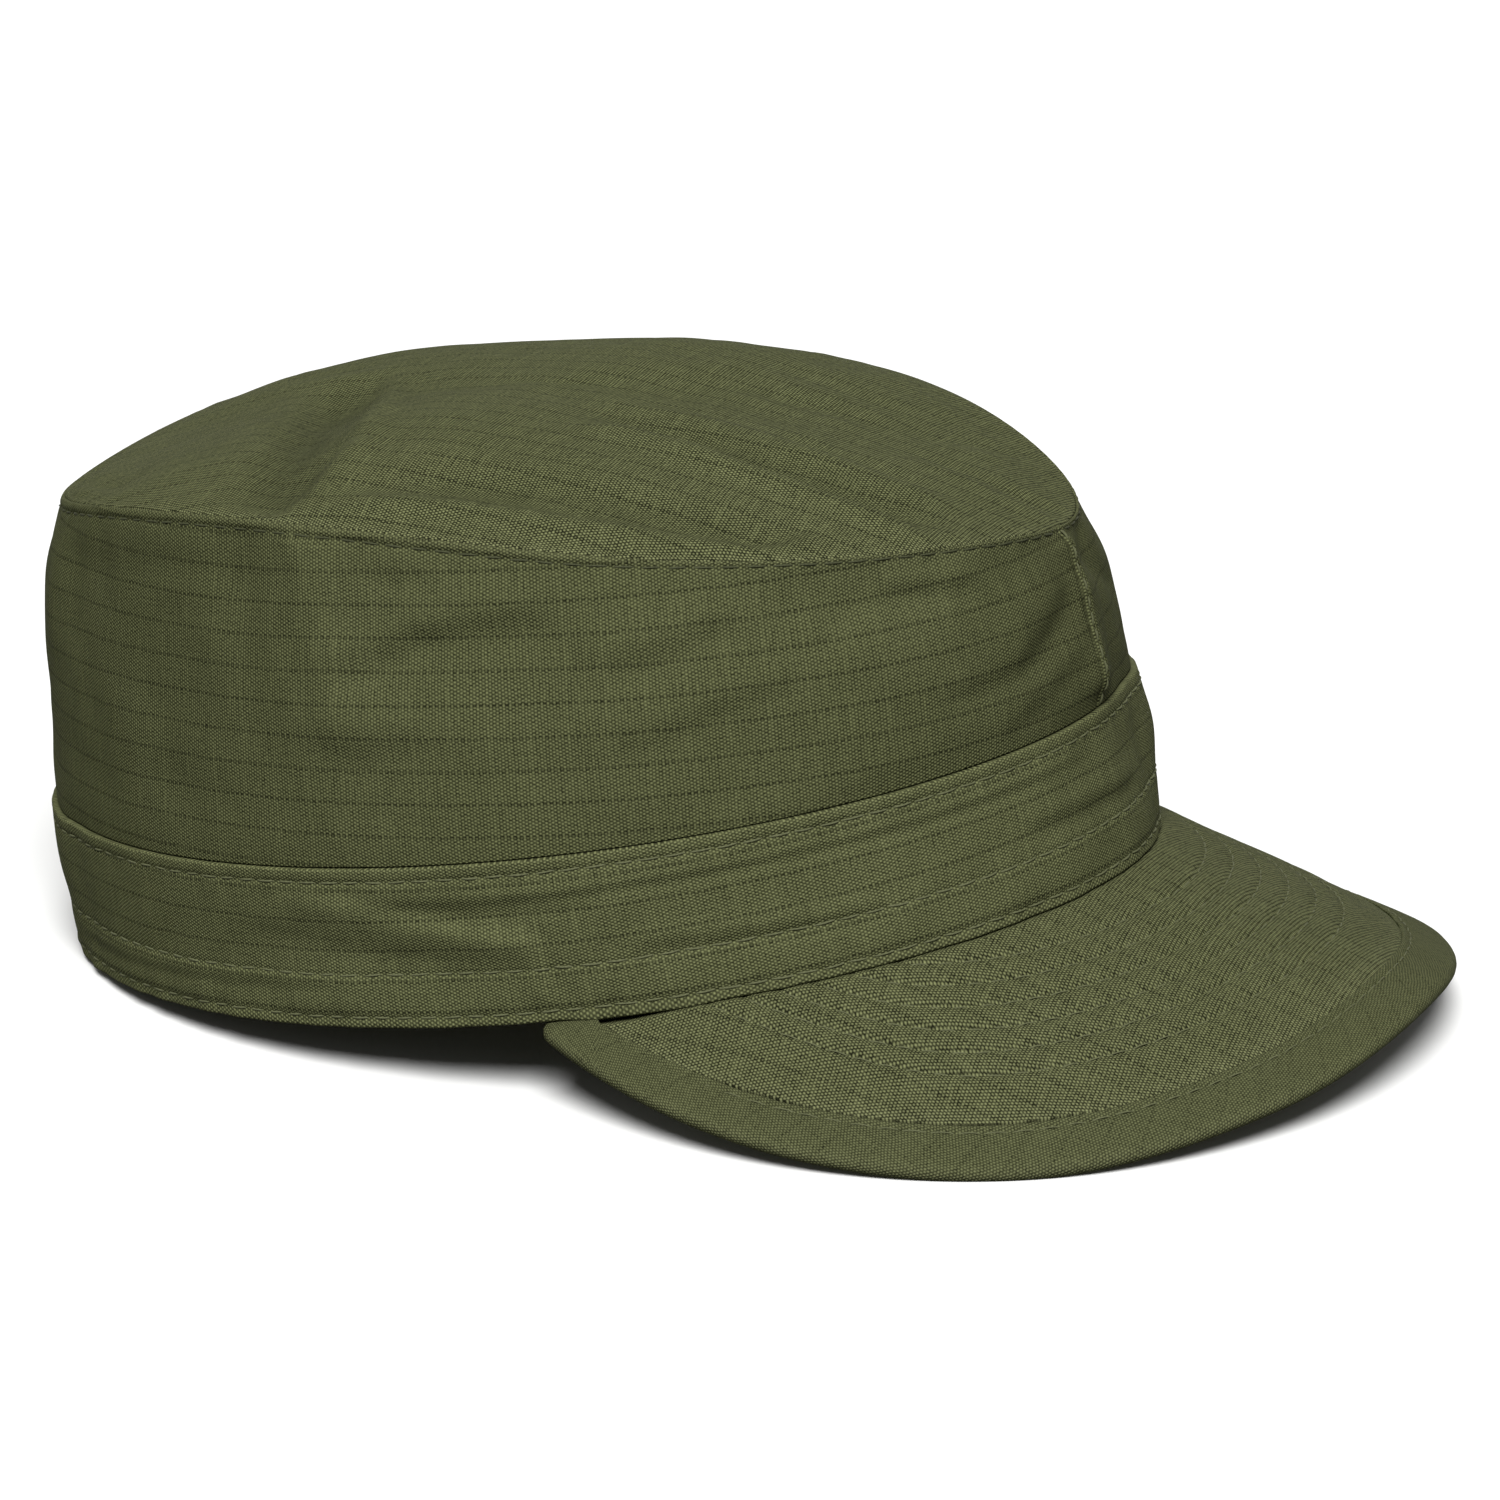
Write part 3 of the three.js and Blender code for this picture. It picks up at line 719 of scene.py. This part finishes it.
def stitches(name, rows, thread, pitch=STITCH_PITCH, radius=THREAD_RADIUS, is_ring=False):
    """Sews rows of stitches. Each row is a path of places and the cloth's outward directions."""
    points, lifts, edges = [], [], []
    for path, directions in rows:
        first = len(points)
        points.extend(laid_on_table(path).tolist())
        lifts.extend(directions.tolist())
        edges.extend((first + k, first + k + 1) for k in range(len(path) - 1))
        if is_ring:
            edges.append((first + len(path) - 1, first))
    mesh = bpy.data.meshes.new(name + " path")
    mesh.from_pydata(points, edges, [])
    lift = mesh.attributes.new("lift", "FLOAT_VECTOR", "POINT")
    lift.data.foreach_set("vector", np.array(lifts, dtype=np.float32).ravel())
    path = placed(name + " path", mesh)
    sewing = path.modifiers.new("sewing", "NODES")
    sewing.node_group = stitched_row
    sizes = {
        "Pitch": pitch * MM,
        "Stitch": STITCH_SHARE * pitch * MM,
        "Thread": radius * MM,
        "Dive": STITCH_DIVE * MM,
        "Material": thread,
    }
    for item in stitched_row.interface.items_tree:
        if item.in_out == "INPUT" and item.name in sizes:
            sewing[item.identifier] = sizes[item.name]
    evaluated = path.evaluated_get(bpy.context.evaluated_depsgraph_get())
    sewn = bpy.data.meshes.new_from_object(evaluated)
    bpy.data.objects.remove(path)
    sewn.name = name
    piece = placed(name, sewn)
    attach(piece, "root")


def path_on(surface, levels, wanted):
    """A path over a grid surface, at one wanted level on each of its columns."""
    points, normal = surface
    rows = np.interp(wanted, levels, np.arange(len(levels)))
    low = np.clip(np.floor(rows).astype(int), 0, len(levels) - 2)
    columns = np.arange(len(points))
    path = mix(points[columns, low], points[columns, low + 1], (rows - low)[:, None])
    return path, normal[columns, low]


def side_stitch_rows(side):
    """The rows of one side panel: under the top seam, and beside the front and rear seams."""
    angle, level, base, normal, shape, fine, arc, below, from_seam = side_surface(side)
    angles = angle[:, 0]
    surface = (base + normal * (shape + fine + ON_CLOTH)[..., None], normal)
    top_row = path_on(surface, side_levels, 1 - row_below_seam(angles) / wall_height(angles))
    centre_rows = []
    for seam_end in (0, -1):
        distance = np.abs(arc - arc[seam_end : seam_end + 1 or None])
        path, directions = [], []
        for k in range(10, np.searchsorted(side_levels, 0.94)):
            order = np.argsort(distance[:, k])
            column = np.interp(CENTRE_SEAM_ROW, distance[order, k], order)
            a = int(np.clip(math.floor(column), 0, len(angles) - 2))
            path.append(mix(surface[0][a, k], surface[0][a + 1, k], column - a))
            directions.append(normal[a, k])
        centre_rows.append((np.array(path), np.array(directions)))
    return top_row, centre_rows


right_top_row, _ = side_stitch_rows(1)
left_top_row, centre_rows = side_stitch_rows(-1)
stitches("top_seam_stitches", [right_top_row, left_top_row], shade_darkened_thread)
stitches(
    "centre_seam_stitches", centre_rows, olive_thread, CENTRE_PITCH, THICK_THREAD_RADIUS
)

# Top panel. An oval of the same ripstop, eased into the side panels, so that it domes and
# sinks in soft folds: a deep dent across the rear and long drag folds towards the front.
TOP_RISE = 15
TOP_RISE_SLOPE = -0.006
TOP_FLATNESS = 2.35
# Painted shade: how much the top's cloth is darkened for each millimetre of a fold's hollow.
HOLLOW_PAINTED_SHADE = 0.06
TOP_FOLDS = table("name x0 y0 x1 y1 height left right", [
    ("cross dent", -40, 0, -22, 68, -4.2, 11, 6.5),
    ("dent crest", -31, 0, -13, 64, 1.6, 6, 9),
    ("side roll", -4, 64.5, 68, 52, 2, 9, 5),
    ("side valley", -2, 57, 66, 46, -2.6, 5, 9),
    ("front roll", 22, 24, 84, 32, 1.6, 7, 5),
    ("front valley", 22, 16, 82, 24, -2.2, 5, 9),
    ("far front roll", 74, -26, 88, -10, 1.6, 7, 9),
])
# Tucks between (u, v) places of the top, high to the left of each line.
TOP_TUCKS = table("name x0 y0 x1 y1 height width", [
    ("dent's foot", -19, 68, -18, 46, 0.7, 4),
    ("dent's edge", -17, 48, -25, 20, 0.25, 4),
    ("dent's far edge", -25, 22, -35, -8, 0.25, 4),
    ("crest's front", -21, 20, -10, 46, 0.4, 4),
    ("crest's far front", -31, -6, -21, 20, 0.4, 4),
    ("side crease", -8, 63, 32, 59, 0.6, 4),
    ("side crease's end", 30, 59.5, 64, 51, 0.8, 4),
    ("side crease's curl", 62, 51, 68, 42, 0.4, 3),
    ("front crease", 24, 20.5, 52, 26.5, 0.6, 4),
    ("front crease's end", 50, 26, 81, 28, 0.8, 4),
    ("middle crease", 52, 9, 80, 11, 0.7, 4),
    ("middle crease behind", 24, 6, 54, 8, 0.25, 2.5),
    ("far crease", 70, -7, 92, -4, 0.6, 4),
    ("rear turn", -78, 58, -90, -4, 0.6, 6),
    ("far slant", 30, -14, 56, -16, 0.35, 4),
    ("farther slant", 30, -30, 56, -28, 0.4, 5),
    ("rear hollow", -72, -18, -42, -14, 0.7, 6),
    ("rear crease", -84, 30, -66, 46, 0.4, 3),
])
TOP_MIDDLE = (TOP_SEAM["front"] - TOP_SEAM["rear"]) / 2
TOP_MIDDLE_HEIGHT = (TOP_SEAM["front_height"] + TOP_SEAM["rear_height"] + TOP_SEAM["side_lift"]) / 2


def fold_heights(u, v):
    """The top's folds, each highest or lowest on its line."""
    total = 0
    for fold in TOP_FOLDS:
        ends, across = beside_line(u, v, fold)
        width = np.where(across > 0, fold["left"], fold["right"])
        total = total + fold["height"] * ends * bell(across, width)
    return total


def top_point(angle, radius, depth):
    seam_u, seam_v, seam_w = oval_place(TOP_SEAM, angle, depth)
    share = radius * (1 - SEWN_GAP / TOP_SEAM["side"])
    u, v = mix(TOP_MIDDLE, seam_u, share), seam_v * share
    rise = (TOP_RISE + TOP_RISE_SLOPE * u) * (1 - radius**TOP_FLATNESS)
    fold = fold_heights(u, v) * (1 - radius**8)
    return cap_point(u, v, mix(TOP_MIDDLE_HEIGHT, seam_w, share) - depth + rise + fold)


top_turns = np.linspace(0, 2 * np.pi, 361)
top_radii = grid_lines((1, 0.94, 14), (0.93, 0, 76))
angle, radius = np.meshgrid(top_turns, top_radii, indexing="ij")
base = top_point(angle, radius, 0)
normal = outward(base, False)
normal[:, -1] = (0, 0, 1)
arc = length_along(base)
inside = (1 - radius) * np.hypot(*base[..., :1, :2].transpose(2, 0, 1))
crease = tuck_heights(-base[..., 1], -base[..., 0], TOP_TUCKS) * smooth(inside, 0.5, 4)
shape = crease + swells(base, (0.2, 30, 21), (0.12, 12, 22)) * smooth(inside, 0, 8)
puckers = soft_waves(base * [1, 1, 0.3], 6, 23) * np.exp(-inside / 6) * smooth(inside, 0.6, 2)
shape = shape + 0.2 * puckers
fine = rounded_edge(inside, 0.3)
outer = base + normal * (shape + fine)[..., None]
inner = top_point(angle, radius, CROWN_CLOTH) + normal * shape[..., None]
flat = -base[..., 1::-1]
# Painted shade: the cloth is darkened in the hollows of the top's folds, where shade falls. The turned
# edge is paler from wear.
hollow = np.minimum(fold_heights(-base[..., 1], -base[..., 0]), 0)
wear_and_shade = 0.3 * bell(inside, 1.2) + HOLLOW_PAINTED_SHADE * hollow * smooth(inside, 2, 8)
# Painted light: the top is the sides' cloth, set a little lighter than theirs to match how brightly the
# top is lit.
top_cloth = cloth_material(
    "olive ripstop top", (0.069, 0.0742, 0.0336), (0.1045, 0.1097, 0.0553), rib_show=1.2, contrast=1.8
)
top_panel = cloth_piece(
    "top_panel", outer[:-1], inner[:-1], flat, flat, wear_and_shade[:-1], is_ring=True, has_pole=True
)
top_panel.data.materials.append(top_cloth)
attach(top_panel, "root")
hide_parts("crown_top")

# Band. A strip of the same cloth, turned up round the foot of the crown and folded at its upper
# edge. One row of stitching holds the upper fold, and two hold the rim.
BAND_ROWS = dict(top=2.4, rim=1.7, turned=9.5)
BAND_TUCKS = table("name x0 y0 x1 y1 height width", [
    ("under the hem", 14, -0.2, 78, -0.22, 0.25, 1.6),
    ("hem's hollow", 72, -0.27, 94, -0.24, 0.38, 3.2),
    ("level tuck", 43, -0.66, 65, -0.6, 0.28, 2.6),
    ("front level tuck", -4, -0.52, 19, -0.47, 0.38, 3.2),
    ("ridge's lower edge", 86, -0.57, 107, -0.37, 0.12, 2.8),
    ("ridge's upper edge", 98, -0.16, 76, -0.5, 0.2, 2.4),
    ("upright crease", 76.5, -0.45, 75.5, -0.85, 0.3, 1.5),
    ("rear level tuck", 100, -0.74, 142, -0.78, 0.2, 2),
    ("left level tuck", -90, -0.4, -60, -0.5, 0.5, 2.2),
    ("left rear tuck", -150, -0.45, -120, -0.4, 0.4, 2.2),
])


def band_point(angle, level, depth):
    return side_point(RIM, depth, BAND_TOP, depth, level + 1, angle, level)


def band_width(angle):
    return cloth_height(RIM, BAND_TOP, angle)


band_turns = np.linspace(0, 2 * np.pi, 541)
band_levels = grid_lines(
    (-1, -0.9, 13), (-0.885, -0.72, 7), (-0.705, -0.62, 9), (-0.6, -0.12, 20), (-0.11, 0, 16)
)
angle, level = np.meshgrid(band_turns, band_levels, indexing="ij")
base = band_point(angle, level, 0)
normal = outward(base[:-1], True)
normal = np.concatenate([normal, normal[:1]])
arc = length_along(base)
above_rim = (level + 1) * band_width(angle)
below_top = -level * band_width(angle)
edge = np.minimum(above_rim, below_top)
shape = swells(base, (0.2, 26, 31), (0.1, 10, 32)) * smooth(edge, 0, 5)
tucks = tuck_heights(degrees_round(angle), level, BAND_TUCKS, DEGREES_PER_LEVEL)
shape = shape + tucks * smooth(edge, 0.5, 3)
shape = shape + 0.16 * soft_waves(base * [1, 1, 0.3], 7, 33) * np.exp(-edge / 5)
fine = 0.06 * bell(below_top - 1.2, 1.1) + 0.18 * bell(above_rim - 5.5, 3.4, 4)
fine = fine + thread_groove(below_top - BAND_ROWS["top"], arc, STITCH_PITCH, depth=0.3)
for row in ("rim", "turned"):
    fine = fine + thread_groove(above_rim - BAND_ROWS[row], arc, STITCH_PITCH, depth=0.28)
rolled = rounded_edge(below_top, 0.35) + rounded_edge(above_rim, 0.4)
outer = base + normal * (shape + fine + rolled)[..., None]
turned = np.abs(degrees_round(angle))
over_peak_end = between(turned, 57, 63, 71, 76)
RIM_SAG, SAG_OVER_PEAK_END = 0.3, 0.45
outer[..., 2] -= (RIM_SAG + SAG_OVER_PEAK_END * over_peak_end) * (1 - smooth(above_rim, 0, 1.5))
inner = band_point(angle, level, BAND_CLOTH)
flat = np.stack([arc[:, 30:31] + 0 * arc, above_rim], axis=-1)
wear_and_shade = 0.1 * bell(below_top, 1.0) + 0.2 * bell(above_rim, 1.2)
# Painted light: the band is the sides' cloth, set lighter than theirs to offset the shade on its wall,
# which faces a little downward.
band_cloth = cloth_material("olive ripstop band", (0.082, 0.088, 0.0399), (0.1195, 0.125, 0.0619))
band = cloth_piece("band_strip", outer[:-1], inner[:-1], flat, flat, wear_and_shade[:-1], is_ring=True)
band.data.materials.append(band_cloth)
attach(band, "root")
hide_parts("crown_band")

band_face = (outer[:-1] + 0.05 * normal[:-1], normal[:-1])
width = band_width(band_turns[:-1])
row_levels = [-BAND_ROWS["top"] / width]
row_levels += [BAND_ROWS[row] / width - 1 for row in ("rim", "turned")]
band_paths = [path_on(band_face, band_levels, wanted) for wanted in row_levels]
stitches("band_stitches", band_paths, olive_thread, is_ring=True)

# Peak. A stiff board between two layers of the same cloth, held flat by six rows of quilting
# that follow its edge. It is sewn in under the rim, and its sides droop to the table.
PEAK = dict(
    reach=155.3,
    middle=65.8,
    half_width=94.7,
    fullness=1.95,
    last_turn=118.5,
    belly=1,
    belly_length=40,
    thickness=2.2,
    bound_thickness=1.2,
    root_depth=3.2,
    root_drop=1.5,
    tip_drop=2.3,
)
PEAK_DROP = table("turn drop", [(0, 27.4), (30, 31.2), (60, 31.9), (90, 22.0), (120, 5.8)])
BINDING = dict(width=11, cloth=1)
QUILTING = dict(first=22.2, step=5.4, rows=6)


def drop_at(turn):
    """The edge's drop below the rim, drawn smoothly through the table's rows."""
    drops = np.array([row["drop"] for row in PEAK_DROP])
    step = PEAK_DROP[1]["turn"] - PEAK_DROP[0]["turn"]
    last = len(drops) - 1
    row = np.minimum((turn / step).astype(int), last - 1)
    t = turn / step - row

    def at(place):
        return drops[np.minimum(np.abs(place), last)]

    slope0 = (at(row + 1) - at(row - 1)) / 2
    slope1 = np.where(row + 2 <= last, (at(row + 2) - at(row)) / 2, at(row + 1) - at(row))
    bend = at(row) - at(row + 1)
    square, cube = -3 * bend - 2 * slope0 - slope1, 2 * bend + slope0 + slope1
    return at(row) + t * slope0 + t**2 * square + t**3 * cube


def peak_edge(turn_degrees):
    turn = np.radians(np.abs(turn_degrees))
    power = 2 / PEAK["fullness"]
    c, s = np.cos(turn), np.sin(turn)
    u = PEAK["middle"] + (PEAK["reach"] - PEAK["middle"]) * np.sign(c) * np.abs(c) ** power
    v = np.sign(turn_degrees) * PEAK["half_width"] * s**power
    return u, v, -drop_at(np.abs(turn_degrees))


def nearest_rim_angle(u, v):
    low, high = np.zeros_like(u), np.full_like(u, np.pi / 2)
    for _ in range(40):
        half = (low + high) / 2
        c, s = np.cos(half), np.sin(half)
        slope = (RIM["front"] * c - u) * -RIM["front"] * s
        slope = slope + (RIM["side"] * s - np.abs(v)) * RIM["side"] * c
        low, high = np.where(slope < 0, half, low), np.where(slope < 0, high, half)
    return np.sign(v) * (low + high) / 2


def peak_rib(turn):
    """The peak's middle line from the rim to its edge, at each turn."""
    edge = peak_edge(turn)
    angle = nearest_rim_angle(edge[0], edge[1])
    root = oval_place(RIM, angle, 0)
    tip_share = smooth(np.abs(angle), math.radians(55), math.radians(75))
    root_height = root[2] - mix(PEAK["root_drop"], PEAK["tip_drop"], tip_share)
    reach = np.hypot(edge[0] - root[0], edge[1] - root[1])
    length = np.hypot(reach, edge[2] - root_height)
    belly = PEAK["belly"] * np.sin(angle) ** 2 * np.minimum(1, length / PEAK["belly_length"]) ** 2
    return dict(edge=edge, root=root, root_height=root_height, reach=reach, length=length, belly=belly)


def on_rib(rib, distance):
    share = np.where(distance < 0, distance / rib["reach"], distance / rib["length"])
    height = mix(rib["root_height"], rib["edge"][2], share) + rib["belly"] * 4 * share * (1 - share)
    return cap_point(
        mix(rib["root"][0], rib["edge"][0], share),
        mix(rib["root"][1], rib["edge"][1], share),
        np.where(distance < 0, rib["root_height"], height),
    )


def peak_point(turn, distance, height):
    """A place at a height over the peak's middle surface."""
    step = 0.5
    before, rib, after = peak_rib(turn - step), peak_rib(turn), peak_rib(turn + step)
    share = distance / rib["length"]
    along = on_rib(after, share * after["length"]) - on_rib(before, share * before["length"])
    further = np.minimum(distance + step, rib["length"])
    out = on_rib(rib, further) - on_rib(rib, np.maximum(distance - step, 0))
    up = np.cross(along, out)
    up = up / np.linalg.norm(up, axis=-1, keepdims=True)
    up = np.where((distance < 0)[..., None], (0, 0, 1), up)
    return on_rib(rib, distance) + up * np.asarray(height)[..., None], up


def row_setback(turn):
    """How much further in from the edge the rows lie as they near the peak's ends."""
    return 6.5 * smooth(np.abs(turn), 58, 94) - 0.8 * (1 - smooth(np.abs(turn), 0, 20))


def quilted(from_edge, along):
    """The face between and under the quilting rows: low swells with a groove at each row."""
    first = QUILTING["first"]
    last = first + QUILTING["step"] * (QUILTING["rows"] - 1)
    rows_from_first = (from_edge - first) / QUILTING["step"]
    off = np.abs(rows_from_first - np.clip(np.round(rows_from_first), 0, QUILTING["rows"] - 1))
    off = off * QUILTING["step"]
    within = between(from_edge, first - 6, first - 1, last + 1, last + 5)
    swell = 0.28 * within * (1 - bell(off, 1.2))
    return swell + thread_groove(off, along, STITCH_PITCH, depth=0.25)


peak_turns = np.linspace(-PEAK["last_turn"], PEAK["last_turn"], 321)[4:-4]
length = peak_rib(peak_turns)["length"][:, None]
end = length - BINDING["cloth"] - CLEARANCE
bare = length - BINDING["width"] - 4 * CLEARANCE
bound_end = np.minimum(np.maximum(bare + 0.7, 0.1 * end), 0.8 * end)
distance = np.concatenate(
    [
        mix(end, bound_end + 0.45, np.linspace(0, 1, 5)[None, :]),
        bound_end + np.array([[0.34, 0.22, 0.1]]),
        bound_end * np.linspace(1, 0, 120)[None, :],
        np.full_like(end, -PEAK["root_depth"]),
    ],
    axis=1,
)
turn, length, bare = (np.broadcast_to(x, distance.shape) for x in (peak_turns[:, None], length, bare))
open_half = mix(PEAK["bound_thickness"] / 2, PEAK["thickness"] / 2, smooth(bare, 3, 12))
bound = smooth(distance, bare + 0.72, bare + 1.08)
half = mix(open_half, PEAK["bound_thickness"] / 2, bound)
middle, up = peak_point(turn, distance, np.zeros_like(distance))
arc = length_along(middle)
fine = quilted(length - distance - row_setback(turn), arc)
fine = fine + 0.12 * soft_waves(middle, 22, 41) * smooth(distance, 0, 6)
fine = fine * (1 - bound) * smooth(bare, 3, 12)
upper, up = peak_point(turn, distance, half + fine)
lower, up = peak_point(turn, distance, -half - 0.5 * fine)
flat = -upper[..., 1::-1]
OTHER_CLOTH = (0, 200)
wear_and_shade = 0.25 * bell(length - distance - BINDING["width"], 3)
# Painted light: the peak is the sides' cloth, set a little lighter than theirs to match how brightly it
# is lit.
peak_cloth = cloth_material(
    "olive ripstop peak", (0.069, 0.0737, 0.034), (0.103, 0.108, 0.056), rib_show=0.95, contrast=1.6
)
peak = cloth_piece("peak_board", upper, lower, flat, flat + OTHER_CLOTH, wear_and_shade)
peak.data.materials.append(peak_cloth)
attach(peak, "root")
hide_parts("peak")


def peak_row(turns, distance, seen, height):
    """A row over the peak's middle surface, or under it where the height is under nothing."""
    path, up = peak_point(turns[seen], distance[seen], np.full(seen.sum(), height))
    return path, np.sign(height) * up


def quilting_row(from_edge, side):
    """One row at a distance in from the peak's edge, on its upper or lower face."""
    turns = np.linspace(-PEAK["last_turn"], PEAK["last_turn"], 400)
    distance = peak_rib(turns)["length"] - from_edge - row_setback(turns)
    return peak_row(turns, distance, distance > 1.2, side * (PEAK["thickness"] / 2 - 0.14))


row_insets = QUILTING["first"] + QUILTING["step"] * np.arange(QUILTING["rows"])
for face_name, side in (("upper", 1), ("lower", -1)):
    rows = [quilting_row(inset, side) for inset in row_insets]
    stitches(f"peak_{face_name}_stitches", rows, olive_thread, radius=FINE_THREAD_RADIUS)

# Peak binding. A bias-cut strip folded over the peak's edge from end to end, and held by one row
# of stitching along its inner edge that goes through to the underside.
BINDING_ROW = 9.3
binding_turns = np.linspace(-PEAK["last_turn"], PEAK["last_turn"], 361)
inside_half = PEAK["bound_thickness"] / 2 + CLEARANCE
edge_half = inside_half + 0.45
round_half = inside_half + BINDING["cloth"]
round_height = round_half - 0.25
arm_steps, round_steps = 26, 9
rib_length = peak_rib(binding_turns)["length"][:, None]
under_rim = 1.3
lower_arm = np.clip(rib_length - 1.5 * CLEARANCE, 2 * round_half, BINDING["width"])
arm = np.clip(rib_length + under_rim, 2 * round_half, BINDING["width"])

# Each row of places goes in along the strip's face: depths in from the peak's edge, and heights
# over its middle. The lower face mirrors the upper one, with the round of the edge between.
turn = binding_turns[:, None]
arm_share = np.linspace(1, 0, arm_steps)[None, :]
arm_depth = mix(round_half, arm, arm_share)
half_at_ends = edge_half + 0.52 * smooth(np.abs(turn), 88, 100)
arm_height = mix(round_height, half_at_ends, smooth(arm_share, 0.1, 1))
round_angle = np.linspace(np.pi / 2, -np.pi / 2, round_steps + 2)[None, 1:-1]
round_depths = round_half * (1 - np.cos(round_angle)) + 0 * turn
round_heights = round_height * np.sin(round_angle) + 0 * turn
depth = np.concatenate([arm_depth, round_depths, arm_depth[:, ::-1]], axis=1)
height = np.concatenate([arm_height, round_heights, -arm_height[:, ::-1]], axis=1)
slot_depth = BINDING["cloth"] + 0.05
inner_depth = np.maximum(depth, slot_depth)
turn = turn + 0 * depth
closed = smooth(np.abs(turn), PEAK["last_turn"] - 2.4, PEAK["last_turn"] - 0.6)
inner_height = np.clip(height, -inside_half, inside_half) * (1 - 0.9 * closed)
height = height * (1 - 0.4 * closed * (height < 0))
length = rib_length + 0 * depth
middle, up = peak_point(turn, length - depth, np.zeros_like(depth))
arc = length_along(middle)
running = arc[:, arm_steps : arm_steps + 1] + 0 * depth
puckers = 0.1 * soft_waves(middle, 6, 51) * smooth(depth, 5, 11) * (1 - smooth(np.abs(turn), 88, 96))
sewn = thread_groove(depth - BINDING_ROW, running, STITCH_PITCH) * smooth(lower_arm, 8, 10.9)
arm_end = np.where(height > 0, arm, lower_arm)
edge_roll = rounded_edge(arm_end - depth, 0.2)
raised = height + np.sign(height) * (puckers + sewn + edge_roll)
outline, up = peak_point(turn, length - depth, raised)
lining, up = peak_point(turn, length - inner_depth, inner_height)
across = length_along(outline.transpose(1, 0, 2)).T
bias = math.sqrt(0.5)
flat = np.stack([(running + across) * bias, (running - across) * bias], axis=-1)
wear_and_shade = 0.5 * bell(depth, 1.4) + 0.2 * bell(arm_end - depth, 0.8)
# Painted shade: the binding is set darker than the sides' cloth, to stand in for the shade on its
# rolled edge.
binding_cloth = cloth_material(
    "olive bias binding", (0.0615, 0.066, 0.0304), (0.095, 0.1, 0.05), rib_show=0.5, contrast=1.1
)
outline, lining, flat, wear_and_shade = (grid[:, ::-1] for grid in (outline, lining, flat, wear_and_shade))
binding = cloth_piece("peak_edge_binding", outline, lining, flat, flat, wear_and_shade)
binding.data.materials.append(binding_cloth)
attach(binding, "root")
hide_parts("peak_binding")


def binding_row(side):
    turns = np.linspace(-PEAK["last_turn"] + 6, PEAK["last_turn"] - 6, 400)
    length = peak_rib(turns)["length"]
    depth = np.minimum(BINDING_ROW, length - 2.2)
    return peak_row(turns, length - depth, depth > 3, side * (edge_half - 0.1))


rows = [binding_row(1), binding_row(-1)]
stitches("binding_stitches", rows, olive_thread, radius=FINE_THREAD_RADIUS)

# Table and studio. A plain pale table, one large soft light above the wearer's right side, a weak
# one low on the other side, and a pale room all round. None of it is part of the cap.
TABLE_REACH = 6
floor_mesh = bpy.data.meshes.new("table")
sides = (-1, -1), (1, -1), (1, 1), (-1, 1)
floor_corners = [(x * TABLE_REACH, y * TABLE_REACH, 0) for x, y in sides]
floor_mesh.from_pydata(floor_corners, [], [(0, 1, 2, 3)])
floor = placed("table", floor_mesh)
table_material, tree, shader = new_material("pale table")
feed(tree, shader, {"Base Color": (0.82, 0.82, 0.81, 1), "Roughness": 0.9})
floor_mesh.materials.append(table_material)
floor.visible_diffuse = False

world = bpy.data.worlds.new("pale room")
world.use_nodes = True
room_light = {"Color": (1, 1, 1, 1), "Strength": 0.165}
feed(world.node_tree, world.node_tree.nodes["Background"], room_light)
bpy.context.scene.world = world
bpy.context.scene.view_settings.view_transform = "Standard"


def away(azimuth, elevation, distance, aim):
    """A place seen from the aim at an azimuth from the front towards the wearer's right."""
    a, e = math.radians(azimuth), math.radians(elevation)
    return (
        aim[0] - distance * math.sin(a) * math.cos(e),
        aim[1] - distance * math.cos(a) * math.cos(e),
        aim[2] + distance * math.sin(e),
    )


def point_at(thing, aim):
    direction = Vector(aim) - thing.location
    thing.rotation_euler = direction.to_track_quat("-Z", "Y").to_euler()


AIM = (0, BACK_SHIFT * MM, 0.04 + LIFT * MM)
STUDIO_LIGHTS = [
    dict(name="high window", azimuth=69, elevation=50, energy=5.06, spread=30),
    dict(name="pale wall behind", azimuth=249, elevation=8, energy=1.1, spread=60),
]
for window in STUDIO_LIGHTS:
    lamp = bpy.data.lights.new(window["name"], "SUN")
    lamp.energy = window["energy"]
    lamp.angle = math.radians(window["spread"])
    light = placed(window["name"], lamp)
    light.location = away(window["azimuth"], window["elevation"], 3, AIM)
    point_at(light, AIM)

# The camera stands off the cap's right front, a little above it.
CAMERA = dict(
    azimuth=65.8, elevation=16.32, distance=1.21, focal_pixels=6606.6, aim_x=612.14, aim_y=662.16
)
PHOTO = 1500
lens = bpy.data.cameras.new("photo camera")
lens.sensor_width = 36
lens.lens = CAMERA["focal_pixels"] / PHOTO * lens.sensor_width
lens.shift_x = (PHOTO / 2 - CAMERA["aim_x"]) / PHOTO
lens.shift_y = (CAMERA["aim_y"] - PHOTO / 2) / PHOTO
camera = placed("photo camera", lens)
camera.location = away(CAMERA["azimuth"], CAMERA["elevation"], CAMERA["distance"], AIM)
point_at(camera, AIM)
bpy.context.scene.camera = camera
